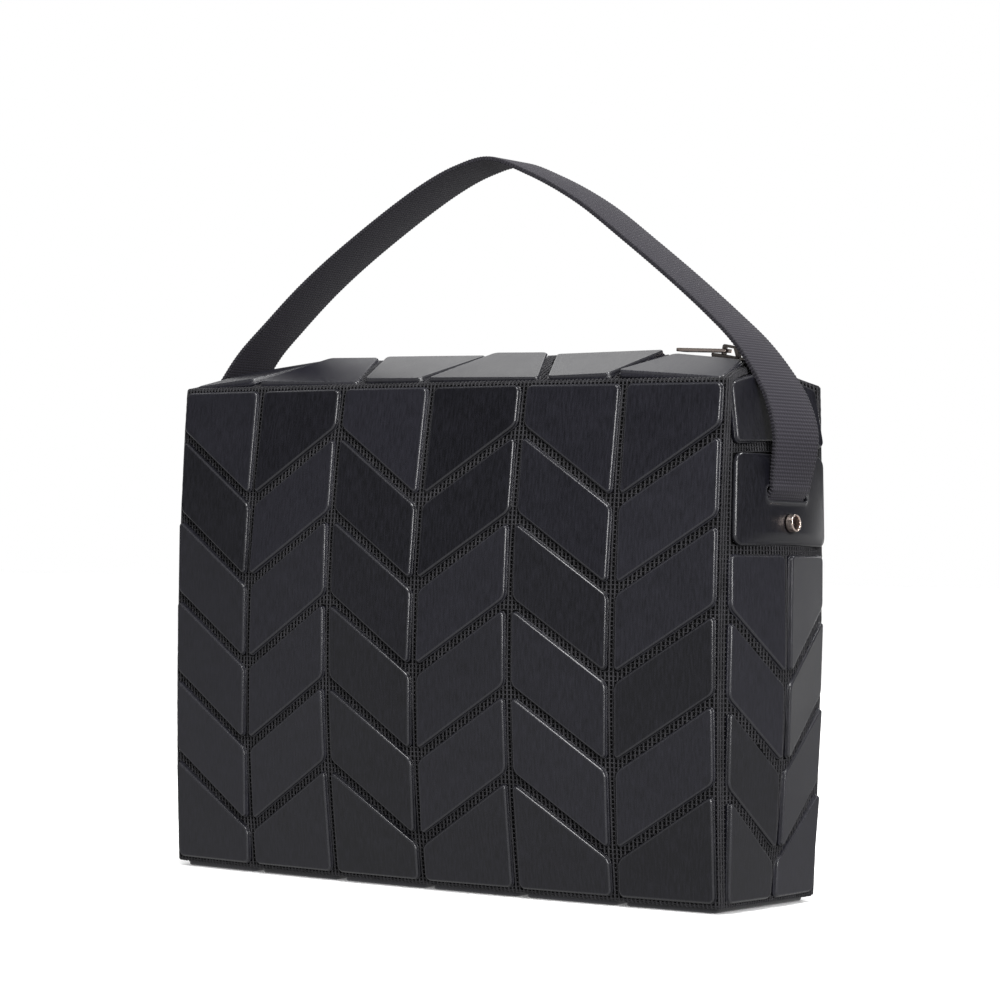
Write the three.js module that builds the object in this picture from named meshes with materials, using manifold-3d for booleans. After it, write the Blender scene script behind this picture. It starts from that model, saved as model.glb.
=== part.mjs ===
// Oblong zip-top box bag: flat tiles bonded to black rib mesh, and one webbing handle over the top.
// Millimetres, +Z up. X runs along the length, the front faces -Y, and the bag stands on z = 0.
import * as THREE from 'three';
import { mergeVertices } from 'three/addons/utils/BufferGeometryUtils.js';
import Module from 'manifold-3d';

const wasm = await Module();
wasm.setup();

// Body: a box whose walls swell outwards
const bodyLength = 274;
const bodyDepth = 70;
const bodyHeight = 204;
const faceSwell = 11.5;
const faceRimSwell = 5.3;
const cornerBow = 3.3;
const endSwell = 5.9;
const endTopDraw = 7.2;
const topRise = 12.8;
const endGable = 6;

// How fast the forms above fade towards the edges, as exponents
const topShoulder = 6;
const topCrown = 1.6;
const rimReach = 10;

// Mesh cloth, and the tiles bonded to it
const clothThickness = 2;
const edgeRounding = 2.4;
const tileStand = 1.7;
const rootCover = 0.6;
const tileCorner = 2.4;
const grooveWidth = 3.8;
const cornerBand = 4;
const rimBand = 2.4;
const pieceGap = 0.3;

// Tile layout: zigzag rows on the upright walls, trapezoids on top, plain oblongs below
const faceColumns = 6;
const faceRows = 6;
const endColumns = 2;
const zigzagRise = 30;
const topSlant = 8;

// Plates on the ends, which hold the handle
const plateBelowTop = 29;
const plateHeight = 35;
const plateThickness = 2;
const plateSeat = 0.45;
const plateCorner = 4;
const slotBelowTop = 44.3;
const slotHeight = 5;
const slotWidth = 31;
const eyeletBelowTop = 55.4;

// Handle: one length of webbing, whose ends lie behind the plates
const handleWidth = 26;
const handleThickness = 1.8;
const handleRise = 87;
const handleEndBelowEyelet = 4.6;
const handleCornerClearance = 0.8;
const tailRecess = 1;
const tailRoom = 0.6;
const plateShoulder = 13;

// The free arch: across as a share of the half span at the top corners, up of handleRise
const archRows = [
  { across: 0.932, up: 0.12 },
  { across: 0.848, up: 0.233 },
  { across: 0.72, up: 0.391 },
  { across: 0.547, up: 0.59 },
  { across: 0.371, up: 0.78 },
  { across: 0.191, up: 0.922 },
  { across: 0.04, up: 1 },
  { across: -0.078, up: 0.97 },
  { across: -0.215, up: 0.887 },
  { across: -0.499, up: 0.638 },
  { across: -0.692, up: 0.437 },
  { across: -0.839, up: 0.252 },
  { across: -0.939, up: 0.116 },
];

// Each side stretch, from the slot to the top corner: up as a share of that height,
// out as a share of the handle's thickness beyond the straight line between them
const sideRows = [
  { up: 0.4, out: 3.5 },
  { up: 0.72, out: 3 },
];

// Eyelets: a raised ring outside, a flange inside
const eyeletBore = 5;
const eyeletBarrel = 6.2;
const eyeletRing = 8.2;
const eyeletStand = 3;
const eyeletFlange = 9;
const eyeletFlangeThickness = 0.8;
const eyeletClearance = 0.4;
const eyeletLip = 0.4;

// Zip along the ridge
const zipOpening = 11;
const ridgeBand = 2;
const tapeWidth = 8.6;
const tapeThickness = 1;
const chainWidth = 5.2;
const chainHeight = 2.4;
const chainRounding = 0.8;
const chainEndMargin = 12;
const sliderFromEnd = 16.5;
const sliderLength = 12;
const sliderWidth = 8;
const sliderNoseWidth = 5.2;
const sliderPlate = 1.1;
const sliderWall = 1.1;
const sliderWallBack = 2.4;
const sliderCorner = 1;
const noseMargin = 0.8;
const postLength = 2.2;
const postWidth = 2.2;
const postRoom = 0.6;
const notchDepth = 4;
const bridgeWidth = 2.4;
const bridgeThickness = 1.1;
const bridgeLegLean = 1.2;
const bridgeHoleLean = 2.6;
const pullLength = 22.5;
const pullWidth = 8;
const pullNeckWidth = 5.6;
const pullThickness = 1.4;
const pullCorner = 1.6;
const pullEyeLength = 4.2;
const hingeRoom = 0.4;

// Reach of the cutters and bars that only have to pass right through
const cutterLength = 30;
const barLength = 40;

// Grid cells of the bent pieces, and sides of the round ones
const endCells = [8, 10];
const topCells = [14, 3];
const baseCells = [8, 1];
const plateCells = [8, 4];
const tapeCells = 28;
const chainCells = [16, 2];
const cutterSides = 20;
const eyeletSides = 12;

const tileBlack = { color: 0x202022, roughness: 0.5, metalness: 0 };
const webbingBlack = { color: 0x2c2b31, roughness: 0.85, metalness: 0 };
const tapeBlack = { color: 0x161618, roughness: 0.9, metalness: 0 };
const darkMetal = { color: 0x6f6a66, roughness: 0.3, metalness: 1 };

const { clamp, lerp } = THREE.MathUtils;

// Where a point of the plain box goes once its walls swell
function swell(point) {
  const u = clamp(point.x / (bodyLength / 2 - clothThickness), -1, 1);
  const w = clamp(point.y / (bodyDepth / 2 - clothThickness), -1, 1);
  const floor = tileStand + clothThickness;
  const v = clamp((point.z - floor) / (bodyHeight - clothThickness - floor), 0, 1);
  const belly = 1 - (2 * v - 1) ** 2;
  const rim = v ** rimReach;
  const shoulder = Math.abs(u) ** topShoulder;
  const crown = 1 - Math.abs(w) ** topCrown;
  const faceOut = lerp(faceRimSwell, faceSwell, belly) * (1 - u ** 2) + cornerBow * belly;
  const endOut = (endSwell * belly - endTopDraw * rim) * (1 - w ** 2);
  const rise = lerp(topRise, endGable, shoulder) * crown * rim;
  return new THREE.Vector3(point.x + u * endOut, point.y + w * faceOut, point.z + rise);
}

// One side of the plain box: a runs along it, b up it, depth into the bag
function makeFace(along, up, centre) {
  const out = along.clone().cross(up);
  const flatPoint = (a, b, depth) => centre.clone()
    .addScaledVector(along, a)
    .addScaledVector(up, b)
    .addScaledVector(out, -depth);
  return { along, point: (a, b, depth) => swell(flatPoint(a, b, depth)) };
}

const xAxis = new THREE.Vector3(1, 0, 0);
const yAxis = new THREE.Vector3(0, 1, 0);
const zAxis = new THREE.Vector3(0, 0, 1);
const faces = {
  front: makeFace(xAxis, zAxis, new THREE.Vector3(0, -bodyDepth / 2, 0)),
  back: makeFace(xAxis.clone().negate(), zAxis, new THREE.Vector3(0, bodyDepth / 2, 0)),
  right: makeFace(yAxis, zAxis, new THREE.Vector3(bodyLength / 2, 0, 0)),
  left: makeFace(yAxis.clone().negate(), zAxis, new THREE.Vector3(-bodyLength / 2, 0, 0)),
  top: makeFace(xAxis, yAxis, new THREE.Vector3(0, 0, bodyHeight)),
  base: makeFace(xAxis, yAxis.clone().negate(), new THREE.Vector3(0, 0, tileStand)),
};

function solidOf(geometry) {
  const bare = geometry.clone();
  bare.deleteAttribute('normal');
  bare.deleteAttribute('uv');
  const merged = mergeVertices(bare);
  return new wasm.Manifold(new wasm.Mesh({
    numProp: 3,
    vertProperties: Float32Array.from(merged.attributes.position.array),
    triVerts: Uint32Array.from(merged.index.array),
  }));
}

function geometryOf(solid) {
  const { vertProperties, triVerts } = solid.getMesh();
  const geometry = new THREE.BufferGeometry();
  geometry.setAttribute('position', new THREE.BufferAttribute(vertProperties, 3));
  geometry.setIndex(new THREE.BufferAttribute(triVerts, 1));
  geometry.computeVertexNormals();
  return geometry;
}

function makeMesh(name, geometry, finish) {
  const mesh = new THREE.Mesh(geometry, new THREE.MeshStandardMaterial(finish));
  mesh.name = name;
  return mesh;
}

// A block of grid cells, each vertex moved from -1..1 along a, b and outwards to its own place
function bentBlock(segments, place) {
  const block = new THREE.BoxGeometry(2, 2, 2, ...segments);
  const position = block.attributes.position;
  for (let i = 0; i < position.count; i += 1) {
    const moved = place(position.getX(i), position.getY(i), position.getZ(i));
    position.setXYZ(i, moved.x, moved.y, moved.z);
  }
  return solidOf(block);
}

// Even grid over a flat stretch: the place of the line numbered column, row
function evenGrid(a, b, segments) {
  return (column, row) => new THREE.Vector2(
    lerp(a[0], a[1], column / segments[0]),
    lerp(b[0], b[1], row / segments[1]),
  );
}

// Cloth wall over a grid of a face. Mitred edges, flagged 1, meet the next wall with a small gap
function clothWall(face, { segments, grid, mitred }) {
  const chamfer = Math.min(edgeRounding, 1.5 * clothThickness);
  const mitreGap = pieceGap / Math.SQRT2;
  const rings = [
    { depth: clothThickness, inset: clothThickness + mitreGap },
    { depth: chamfer / 2, inset: chamfer / 2 + mitreGap },
    { depth: 0, inset: chamfer },
  ];
  const shiftOf = (line, lines, flags) => {
    if (line === 0) {
      return flags[0];
    }
    return line === lines ? -flags[1] : 0;
  };
  return bentBlock([...segments, 2], (x, y, z) => {
    const { depth, inset } = rings[z + 1];
    const column = Math.round((x + 1) / 2 * segments[0]);
    const row = Math.round((y + 1) / 2 * segments[1]);
    const place = grid(column, row);
    const a = place.x + inset * shiftOf(column, segments[0], mitred.a);
    const b = place.y + inset * shiftOf(row, segments[1], mitred.b);
    return face.point(a, b, depth);
  });
}

// A convex outline moved inwards, each side by its own margin
function insetOutline(corners, margins) {
  const count = corners.length;
  const sides = corners.map((corner, i) => {
    const along = corners[(i + 1) % count].clone().sub(corner).normalize();
    const inward = new THREE.Vector2(-along.y, along.x);
    return { along, start: corner.clone().addScaledVector(inward, margins[i]) };
  });
  return sides.map((side, i) => {
    const before = sides[(i + count - 1) % count];
    const apart = side.start.clone().sub(before.start);
    const reach = apart.cross(side.along) / before.along.cross(side.along);
    return before.start.clone().addScaledVector(before.along, reach);
  });
}

// Outline with each corner cut back by the same length
function cornerCutShape(corners, cut) {
  const shape = new THREE.Shape();
  corners.forEach((corner, i) => {
    const before = corners[(i + corners.length - 1) % corners.length];
    const after = corners[(i + 1) % corners.length];
    const reach = Math.min(cut, corner.distanceTo(before) / 3, corner.distanceTo(after) / 3);
    const enter = corner.clone().add(before.clone().sub(corner).setLength(reach));
    const leave = corner.clone().add(after.clone().sub(corner).setLength(reach));
    if (i === 0) {
      shape.moveTo(enter.x, enter.y);
    } else {
      shape.lineTo(enter.x, enter.y);
    }
    shape.quadraticCurveTo(corner.x, corner.y, leave.x, leave.y);
  });
  shape.closePath();
  return shape;
}

// Flat tile on the plane that fits its corners on the swollen face, rooted in the cloth
function makeTile(face, corners, margins) {
  const onFace = insetOutline(corners, margins).map(({ x, y }) => face.point(x, y, 0));
  const middle = onFace.reduce((sum, p) => sum.add(p), new THREE.Vector3()).divideScalar(onFace.length);
  const out = new THREE.Vector3();
  onFace.forEach((corner, i) => {
    const next = onFace[(i + 1) % onFace.length];
    out.add(corner.clone().sub(middle).cross(next.clone().sub(middle)));
  });
  out.normalize();
  const along = face.along.clone().projectOnPlane(out).normalize();
  const up = out.clone().cross(along);
  const flat = onFace.map((corner) => {
    const offset = corner.clone().sub(middle);
    return new THREE.Vector2(offset.dot(along), offset.dot(up));
  });
  const root = clothThickness - rootCover;
  const geometry = new THREE.ExtrudeGeometry(cornerCutShape(flat, tileCorner), {
    depth: root + tileStand,
    bevelEnabled: false,
    curveSegments: 1,
  });
  geometry.translate(0, 0, -root);
  const place = new THREE.Matrix4().makeBasis(along, up, out).setPosition(middle);
  return solidOf(geometry).transform(place.toArray());
}

const halfGroove = grooveWidth / 2;
const swing = (line) => (line % 2 === 0 ? 1 : -1) * zigzagRise / 2;
const rowPitch = bodyHeight / faceRows;

// Crossings of the zigzag lines; firstLine sets which way the first column slopes
function zigzagGrid({ width, columns, rows, top, firstLine }) {
  return (column, row) => {
    const level = row === rows ? top : row * rowPitch + swing(firstLine + column);
    return new THREE.Vector2(lerp(-width / 2, width / 2, column / columns), row === 0 ? tileStand : level);
  };
}

// A tile in each cell between zigzag lines
function zigzagTiles(face, grid, { columns, rows, topMargin, sideMargin }) {
  const tiles = [];
  for (let column = 0; column < columns; column += 1) {
    for (let row = 0; row < rows; row += 1) {
      const corners = [
        grid(column, row),
        grid(column + 1, row),
        grid(column + 1, row + 1),
        grid(column, row + 1),
      ];
      tiles.push(makeTile(face, corners, [
        row === 0 ? rimBand : halfGroove,
        column === columns - 1 ? sideMargin : halfGroove,
        row === rows - 1 ? topMargin : halfGroove,
        column === 0 ? sideMargin : halfGroove,
      ]));
    }
  }
  return tiles;
}

// One row of tiles between two straight edges, with slants between columns that lean in turn
function stripTiles(face, { width, columns, b, bMargins, slant }) {
  const place = (line, edge) => {
    const lean = line === 0 || line === columns ? 0 : slant * (line % 2 === 0 ? 1 : -1);
    return new THREE.Vector2(lerp(-width / 2, width / 2, line / columns) + edge * lean, b[(edge + 1) / 2]);
  };
  const tiles = [];
  for (let column = 0; column < columns; column += 1) {
    const corners = [place(column, -1), place(column + 1, -1), place(column + 1, 1), place(column, 1)];
    tiles.push(makeTile(face, corners, [
      bMargins[0],
      column === columns - 1 ? cornerBand : halfGroove,
      bMargins[1],
      column === 0 ? cornerBand : halfGroove,
    ]));
  }
  return tiles;
}

const joined = (base, pieces) => pieces.reduce((sum, piece) => sum.add(piece), base);

const allMitred = { a: [1, 1], b: [1, 1] };

function faceWall(face, firstLine) {
  const layout = { width: bodyLength, columns: faceColumns, rows: faceRows, top: bodyHeight, firstLine };
  const grid = zigzagGrid(layout);
  const cloth = clothWall(face, { segments: [faceColumns, faceRows], grid, mitred: allMitred });
  return joined(cloth, zigzagTiles(face, grid, { ...layout, topMargin: rimBand, sideMargin: rimBand }));
}

const plateTop = bodyHeight - plateBelowTop;
const plateBottom = plateTop - plateHeight;
const slotLevel = bodyHeight - slotBelowTop;
const eyeletLevel = bodyHeight - eyeletBelowTop;

// Outer face of the right end's cloth at mid depth, and the way it faces there
const endAt = (level) => faces.right.point(0, level, 0).x;
function endFacing(level) {
  const step = 1;
  const lean = (endAt(level + step) - endAt(level - step)) / (2 * step);
  return new THREE.Vector3(1, 0, -lean).normalize();
}

// Round cutter along the eyelet's axis at the right end
function eyeletCutter(diameter) {
  const facing = endFacing(eyeletLevel);
  const geometry = new THREE.CylinderGeometry(diameter / 2, diameter / 2, cutterLength, cutterSides);
  const turn = new THREE.Quaternion().setFromUnitVectors(yAxis, facing);
  geometry.applyQuaternion(turn);
  geometry.translate(endAt(eyeletLevel), 0, eyeletLevel);
  return solidOf(geometry);
}

const mirrorX = (solid) => solid.mirror([1, 0, 0]);
const eyeletHole = eyeletCutter(eyeletBarrel + 2 * eyeletClearance);

function endWall(face, firstLine) {
  const lowest = zigzagRise / 2 + grooveWidth;
  const rows = Math.max(1, Math.ceil((plateBottom - lowest) / rowPitch));
  const span = [-bodyDepth / 2, bodyDepth / 2];
  const cloth = clothWall(face, {
    segments: endCells,
    grid: evenGrid(span, [tileStand, bodyHeight], endCells),
    mitred: allMitred,
  });
  const layout = { width: bodyDepth, columns: endColumns, rows, top: plateBottom - halfGroove, firstLine };
  const margins = { topMargin: halfGroove, sideMargin: cornerBand };
  const lower = zigzagTiles(face, zigzagGrid(layout), { ...layout, ...margins });
  const upper = stripTiles(face, {
    width: bodyDepth,
    columns: endColumns,
    b: [plateTop + halfGroove, bodyHeight],
    bMargins: [halfGroove, rimBand],
    slant: 0,
  });
  return joined(cloth, [...lower, ...upper]);
}

function topPanel(side) {
  const outer = side * bodyDepth / 2;
  const inner = side * zipOpening / 2;
  const b = side < 0 ? [outer, inner] : [inner, outer];
  const cloth = clothWall(faces.top, {
    segments: topCells,
    grid: evenGrid([-bodyLength / 2, bodyLength / 2], b, topCells),
    mitred: { a: [1, 1], b: side < 0 ? [1, 0] : [0, 1] },
  });
  return joined(cloth, stripTiles(faces.top, {
    width: bodyLength,
    columns: faceColumns,
    b,
    bMargins: side < 0 ? [rimBand, ridgeBand] : [ridgeBand, rimBand],
    slant: side * topSlant,
  }));
}

function baseWall() {
  const b = [-bodyDepth / 2, bodyDepth / 2];
  const cloth = clothWall(faces.base, {
    segments: baseCells,
    grid: evenGrid([-bodyLength / 2, bodyLength / 2], b, baseCells),
    mitred: allMitred,
  });
  return joined(cloth, stripTiles(faces.base, {
    width: bodyLength,
    columns: faceColumns,
    b,
    bMargins: [rimBand, rimBand],
    slant: 0,
  }));
}

// The same outline, drawn in Y and Z, as a bar along X through the right end
function endBar(shape) {
  const geometry = new THREE.ExtrudeGeometry(shape, {
    depth: barLength,
    bevelEnabled: false,
    curveSegments: 2,
  });
  const place = new THREE.Matrix4().makeBasis(yAxis, zAxis, xAxis);
  return solidOf(geometry).transform(place.setPosition((bodyLength - barLength) / 2, 0, 0).toArray());
}

function oblong(halfWidth, bottom, top, corner) {
  return cornerCutShape([
    new THREE.Vector2(-halfWidth, bottom),
    new THREE.Vector2(halfWidth, bottom),
    new THREE.Vector2(halfWidth, top),
    new THREE.Vector2(-halfWidth, top),
  ], corner);
}

const slotTop = slotLevel + slotHeight / 2;
const slotFoot = slotLevel - slotHeight / 2;
const plateEdge = bodyDepth / 2 - cornerBand;
const plateHalf = faces.right.point(plateEdge, slotLevel, 0).y;

// How much further the plate's face stands off the cloth than its back: it is flat across the middle
function crownAt(y, level) {
  const sideways = clamp((plateEdge - Math.abs(y)) / plateShoulder, 0, 1);
  return (endAt(level) - faces.right.point(y, level, 0).x) * sideways;
}

// Block over the hidden end of the handle, from one distance off the end's middle line to another
function tailBlock(from, to) {
  const foot = eyeletLevel - handleEndBelowEyelet - tailRoom;
  return bentBlock([1, 3, 1], (x, y, z) => {
    const level = lerp(foot, slotTop, (y + 1) / 2);
    return new THREE.Vector3(endAt(level) + (z > 0 ? to : from), x * (handleWidth / 2 + tailRoom), level);
  });
}

function strapPlate() {
  const reach = plateEdge + 1;
  const slab = bentBlock([...plateCells, 1], (x, y, z) => {
    const level = lerp(plateBottom - 1, plateTop + 1, (y + 1) / 2);
    const stand = plateSeat + (z > 0 ? plateThickness + crownAt(x * reach, level) : 0);
    return faces.right.point(x * reach, level, -stand);
  });
  const outline = endBar(oblong(plateHalf, plateBottom, plateTop, plateCorner));
  const slot = endBar(oblong(slotWidth / 2, slotFoot, slotTop, slotHeight / 3));
  const tail = tailBlock(-cutterLength, handleThickness + 2 * pieceGap - tailRecess);
  return slab.intersect(outline).subtract(slot).subtract(eyeletHole).subtract(tail);
}

// Middle line of the handle on the right, from its hidden end up to the top corner
const handleSeat = (level) => endAt(level) + pieceGap + handleThickness / 2;
const overPlate = 2 * pieceGap + plateThickness;
const handleCorner = new THREE.Vector2(
  faces.top.point(bodyLength / 2, 0, 0).x + tileStand + handleCornerClearance + handleThickness / 2,
  faces.top.point(bodyLength / 2, 0, 0).z,
);

function sidePath() {
  const start = new THREE.Vector2(handleSeat(slotTop) + overPlate, slotTop + handleThickness);
  const rise = handleCorner.clone().sub(start);
  return [
    ...[eyeletLevel - handleEndBelowEyelet, eyeletLevel, slotFoot].map((level) => new THREE.Vector2(
      handleSeat(level) - tailRecess,
      level,
    )),
    new THREE.Vector2(handleSeat(slotTop) + overPlate, slotTop),
    start,
    ...sideRows.map(({ up, out }) => new THREE.Vector2(
      start.x + rise.x * up + out * handleThickness,
      start.y + rise.y * up,
    )),
  ];
}

function handlePath() {
  const side = sidePath();
  const opposite = ({ x, y }) => new THREE.Vector2(-x, y);
  const arch = archRows.map(({ across, up }) => new THREE.Vector2(
    across * handleCorner.x,
    handleCorner.y + up * handleRise,
  ));
  return [
    ...side,
    handleCorner,
    ...arch,
    opposite(handleCorner),
    ...side.map(opposite).reverse(),
  ];
}

// Side view of a strip of even thickness along a smooth line through the points
function stripShape(points, thickness, steps) {
  const curve = new THREE.CatmullRomCurve3(points.map(({ x, y }) => new THREE.Vector3(x, y, 0)));
  const edge = (side) => Array.from({ length: steps + 1 }, (_, i) => {
    const along = curve.getTangent(i / steps);
    const across = new THREE.Vector3(-along.y, along.x, 0);
    const place = curve.getPoint(i / steps).addScaledVector(across, side * thickness / 2);
    return new THREE.Vector2(place.x, place.y);
  });
  return new THREE.Shape([...edge(-1), ...edge(1).reverse()]);
}

function handle() {
  const points = handlePath();
  const shape = stripShape(points, handleThickness, 2 * (points.length - 1));
  const geometry = new THREE.ExtrudeGeometry(shape, { depth: handleWidth, bevelEnabled: false });
  geometry.rotateX(Math.PI / 2);
  geometry.translate(0, handleWidth / 2, 0);
  return solidOf(geometry).subtract(eyeletHole).subtract(mirrorX(eyeletHole));
}

const eyeletSeat = plateSeat + plateThickness + pieceGap;

// Ring, barrel and inner flange of an eyelet, turned about its own +Y, which faces out
function eyeletGeometry() {
  const stack = eyeletSeat + clothThickness + 3 * pieceGap;
  const bore = eyeletBore / 2;
  const ring = eyeletRing / 2;
  const barrel = eyeletBarrel / 2;
  const flange = eyeletFlange / 2;
  const profile = [
    [bore, -stack - eyeletFlangeThickness],
    [flange, -stack - eyeletFlangeThickness],
    [flange, -stack],
    [barrel, -stack],
    [barrel, 0],
    [ring, 0],
    [ring, eyeletStand - eyeletLip],
    [ring - eyeletLip, eyeletStand],
    [bore + eyeletLip, eyeletStand],
    [bore, eyeletStand - eyeletLip],
    [bore, -stack - eyeletFlangeThickness],
  ];
  const section = profile.map(([radius, height]) => new THREE.Vector2(radius, height));
  return new THREE.LatheGeometry(section, eyeletSides);
}

function eyelet(name, side) {
  const mesh = makeMesh(name, geometryOf(solidOf(eyeletGeometry())), darkMetal);
  const facing = endFacing(eyeletLevel);
  const seat = new THREE.Vector3(endAt(eyeletLevel), 0, eyeletLevel).addScaledVector(facing, eyeletSeat);
  mesh.position.set(side * seat.x, seat.y, seat.z);
  mesh.quaternion.setFromUnitVectors(yAxis, new THREE.Vector3(side * facing.x, facing.y, facing.z));
  return mesh;
}

// Zip: depths below the cloth's outer face
const tapeTop = clothThickness + 2 * pieceGap;
const chainFoot = tapeTop - pieceGap;
const chainTop = chainFoot - chainHeight;
const tapeHalf = bodyLength / 2 - clothThickness - 2 * pieceGap;
const sliderPlace = bodyLength / 2 - sliderFromEnd;
const ridgeAt = (x, depth) => faces.top.point(x, 0, depth);

// Frame of the slider: x along the ridge, z out of it, origin on top of the tapes
function sliderFrame() {
  const step = sliderLength / 2;
  const origin = ridgeAt(sliderPlace, tapeTop);
  const along = ridgeAt(sliderPlace + step, tapeTop).sub(ridgeAt(sliderPlace - step, tapeTop)).normalize();
  return new THREE.Matrix4()
    .makeBasis(along, yAxis, along.clone().cross(yAxis))
    .setPosition(origin);
}

const channelFoot = pieceGap;
const plateFoot = tapeTop - chainTop + pieceGap;
const sliderTop = plateFoot + sliderPlate;
const sliderFall = ridgeAt(sliderPlace, 0).z
  - faces.top.point(sliderPlace + sliderLength / 2, sliderWidth / 2, 0).z
  - (ridgeAt(sliderPlace - sliderLength / 2, 0).z - ridgeAt(sliderPlace + sliderLength / 2, 0).z) / 2;
const lowerTop = -tapeThickness - 3 * pieceGap - sliderFall;
const postCentre = sliderLength / 2 - postLength / 2 - noseMargin;

function box(size, centre) {
  const geometry = new THREE.BoxGeometry(...size);
  geometry.translate(...centre);
  return solidOf(geometry);
}

function zipTape(side) {
  const inner = side * pieceGap / 2;
  const outer = side * tapeWidth;
  const range = side < 0 ? [outer, inner] : [inner, outer];
  const tape = bentBlock([tapeCells, 1, 1], (x, y, z) => {
    const depth = z > 0 ? tapeTop : tapeTop + tapeThickness;
    return faces.top.point(x * tapeHalf, lerp(range[0], range[1], (y + 1) / 2), depth);
  });
  const notch = box(
    [postLength + 2 * postRoom, postWidth + postRoom, notchDepth],
    [postCentre, 0, -tapeThickness / 2],
  ).transform(sliderFrame().toArray());
  return tape.subtract(notch);
}

// Closed teeth as one rounded bar, from the left end to the slider's post
function zipChain() {
  const from = -tapeHalf + chainEndMargin;
  const to = sliderPlace + postCentre - postLength / 2 - 2 * pieceGap;
  return bentBlock([...chainCells, 1], (x, y, z) => {
    const fall = (1 - Math.sqrt(1 - (chainRounding * y) ** 2)) * chainHeight;
    const depth = z > 0 ? chainTop + fall : chainFoot;
    return faces.top.point(lerp(from, to, (x + 1) / 2), y * chainWidth / 2, depth);
  });
}

function sliderOutline() {
  const half = sliderLength / 2;
  const shoulder = half / 3;
  return cornerCutShape([
    new THREE.Vector2(-half, -sliderWidth / 2),
    new THREE.Vector2(shoulder, -sliderWidth / 2),
    new THREE.Vector2(half, -sliderNoseWidth / 2),
    new THREE.Vector2(half, sliderNoseWidth / 2),
    new THREE.Vector2(shoulder, sliderWidth / 2),
    new THREE.Vector2(-half, sliderWidth / 2),
  ], sliderCorner);
}

function slab(shape, thickness, foot) {
  const geometry = new THREE.ExtrudeGeometry(shape, {
    depth: thickness,
    bevelEnabled: false,
    curveSegments: 2,
  });
  geometry.translate(0, 0, foot);
  return solidOf(geometry);
}

// The pull's cross bar turns in the bridge: the radius it sweeps, and its height and place
const barReach = Math.hypot(pullThickness, pullThickness) / 2;
const hingeHeight = sliderTop + barReach + pieceGap + hingeRoom;
const hingePlace = -sliderLength / 2 + pullEyeLength + barReach + pieceGap;

function bridge() {
  const foot = sliderTop - sliderPlate / 2;
  const top = hingeHeight + barReach + pieceGap + bridgeThickness;
  const left = hingePlace - barReach - pieceGap - bridgeThickness;
  const right = sliderLength / 2 - noseMargin;
  const outer = new THREE.Shape([
    new THREE.Vector2(left, foot),
    new THREE.Vector2(right, foot),
    new THREE.Vector2(right - bridgeThickness / 2, top - bridgeThickness),
    new THREE.Vector2(right - 2 * bridgeThickness, top),
    new THREE.Vector2(left + bridgeThickness / 2, top),
    new THREE.Vector2(left, top - bridgeThickness / 2),
  ]);
  outer.holes.push(new THREE.Path([
    new THREE.Vector2(left + bridgeThickness, sliderTop),
    new THREE.Vector2(left + bridgeThickness, top - bridgeThickness),
    new THREE.Vector2(right - bridgeHoleLean * bridgeThickness, top - bridgeThickness),
    new THREE.Vector2(right - bridgeLegLean * bridgeThickness, sliderTop),
  ]));
  const geometry = new THREE.ExtrudeGeometry(outer, { depth: bridgeWidth, bevelEnabled: false });
  geometry.rotateX(Math.PI / 2);
  geometry.translate(0, bridgeWidth / 2, 0);
  return solidOf(geometry);
}

function slider() {
  const upper = slab(sliderOutline(), sliderPlate, plateFoot);
  const lower = slab(sliderOutline(), sliderPlate, lowerTop - sliderPlate);
  const post = box(
    [postLength, postWidth, plateFoot - lowerTop + sliderPlate],
    [postCentre, 0, (plateFoot + lowerTop) / 2],
  );
  const wallHeight = plateFoot - channelFoot + sliderPlate / 2;
  const wallPlace = (sliderWidth - sliderWall) / 2;
  const walls = [-1, 1].map((side) => box(
    [sliderLength / 2, sliderWall, wallHeight],
    [-sliderWallBack, side * wallPlace, channelFoot + wallHeight / 2],
  ));
  return joined(upper, [lower, post, ...walls, bridge()]);
}

// Pull plate lying back along the ridge: its own origin is the hinge, and it runs along -X
function pull() {
  const barHalf = pullThickness / 2;
  const outline = cornerCutShape([
    new THREE.Vector2(-pullLength, -pullWidth / 2),
    new THREE.Vector2(barHalf, -pullNeckWidth / 2),
    new THREE.Vector2(barHalf, pullNeckWidth / 2),
    new THREE.Vector2(-pullLength, pullWidth / 2),
  ], pullCorner);
  const eyeHalf = bridgeWidth / 2 + pieceGap;
  outline.holes.push(new THREE.Path([
    new THREE.Vector2(-barHalf - pullEyeLength, -eyeHalf),
    new THREE.Vector2(-barHalf - pullEyeLength, eyeHalf),
    new THREE.Vector2(-barHalf, eyeHalf),
    new THREE.Vector2(-barHalf, -eyeHalf),
  ]));
  return slab(outline, pullThickness, -pullThickness / 2);
}

// The pull's tip rests on the teeth
function pullRest(hinge) {
  const tip = ridgeAt(hinge.x - pullLength, chainTop);
  const rise = tip.z + pieceGap + pullThickness / 2 - hinge.z;
  return Math.asin(clamp(rise / pullLength, -1, 1));
}

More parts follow.
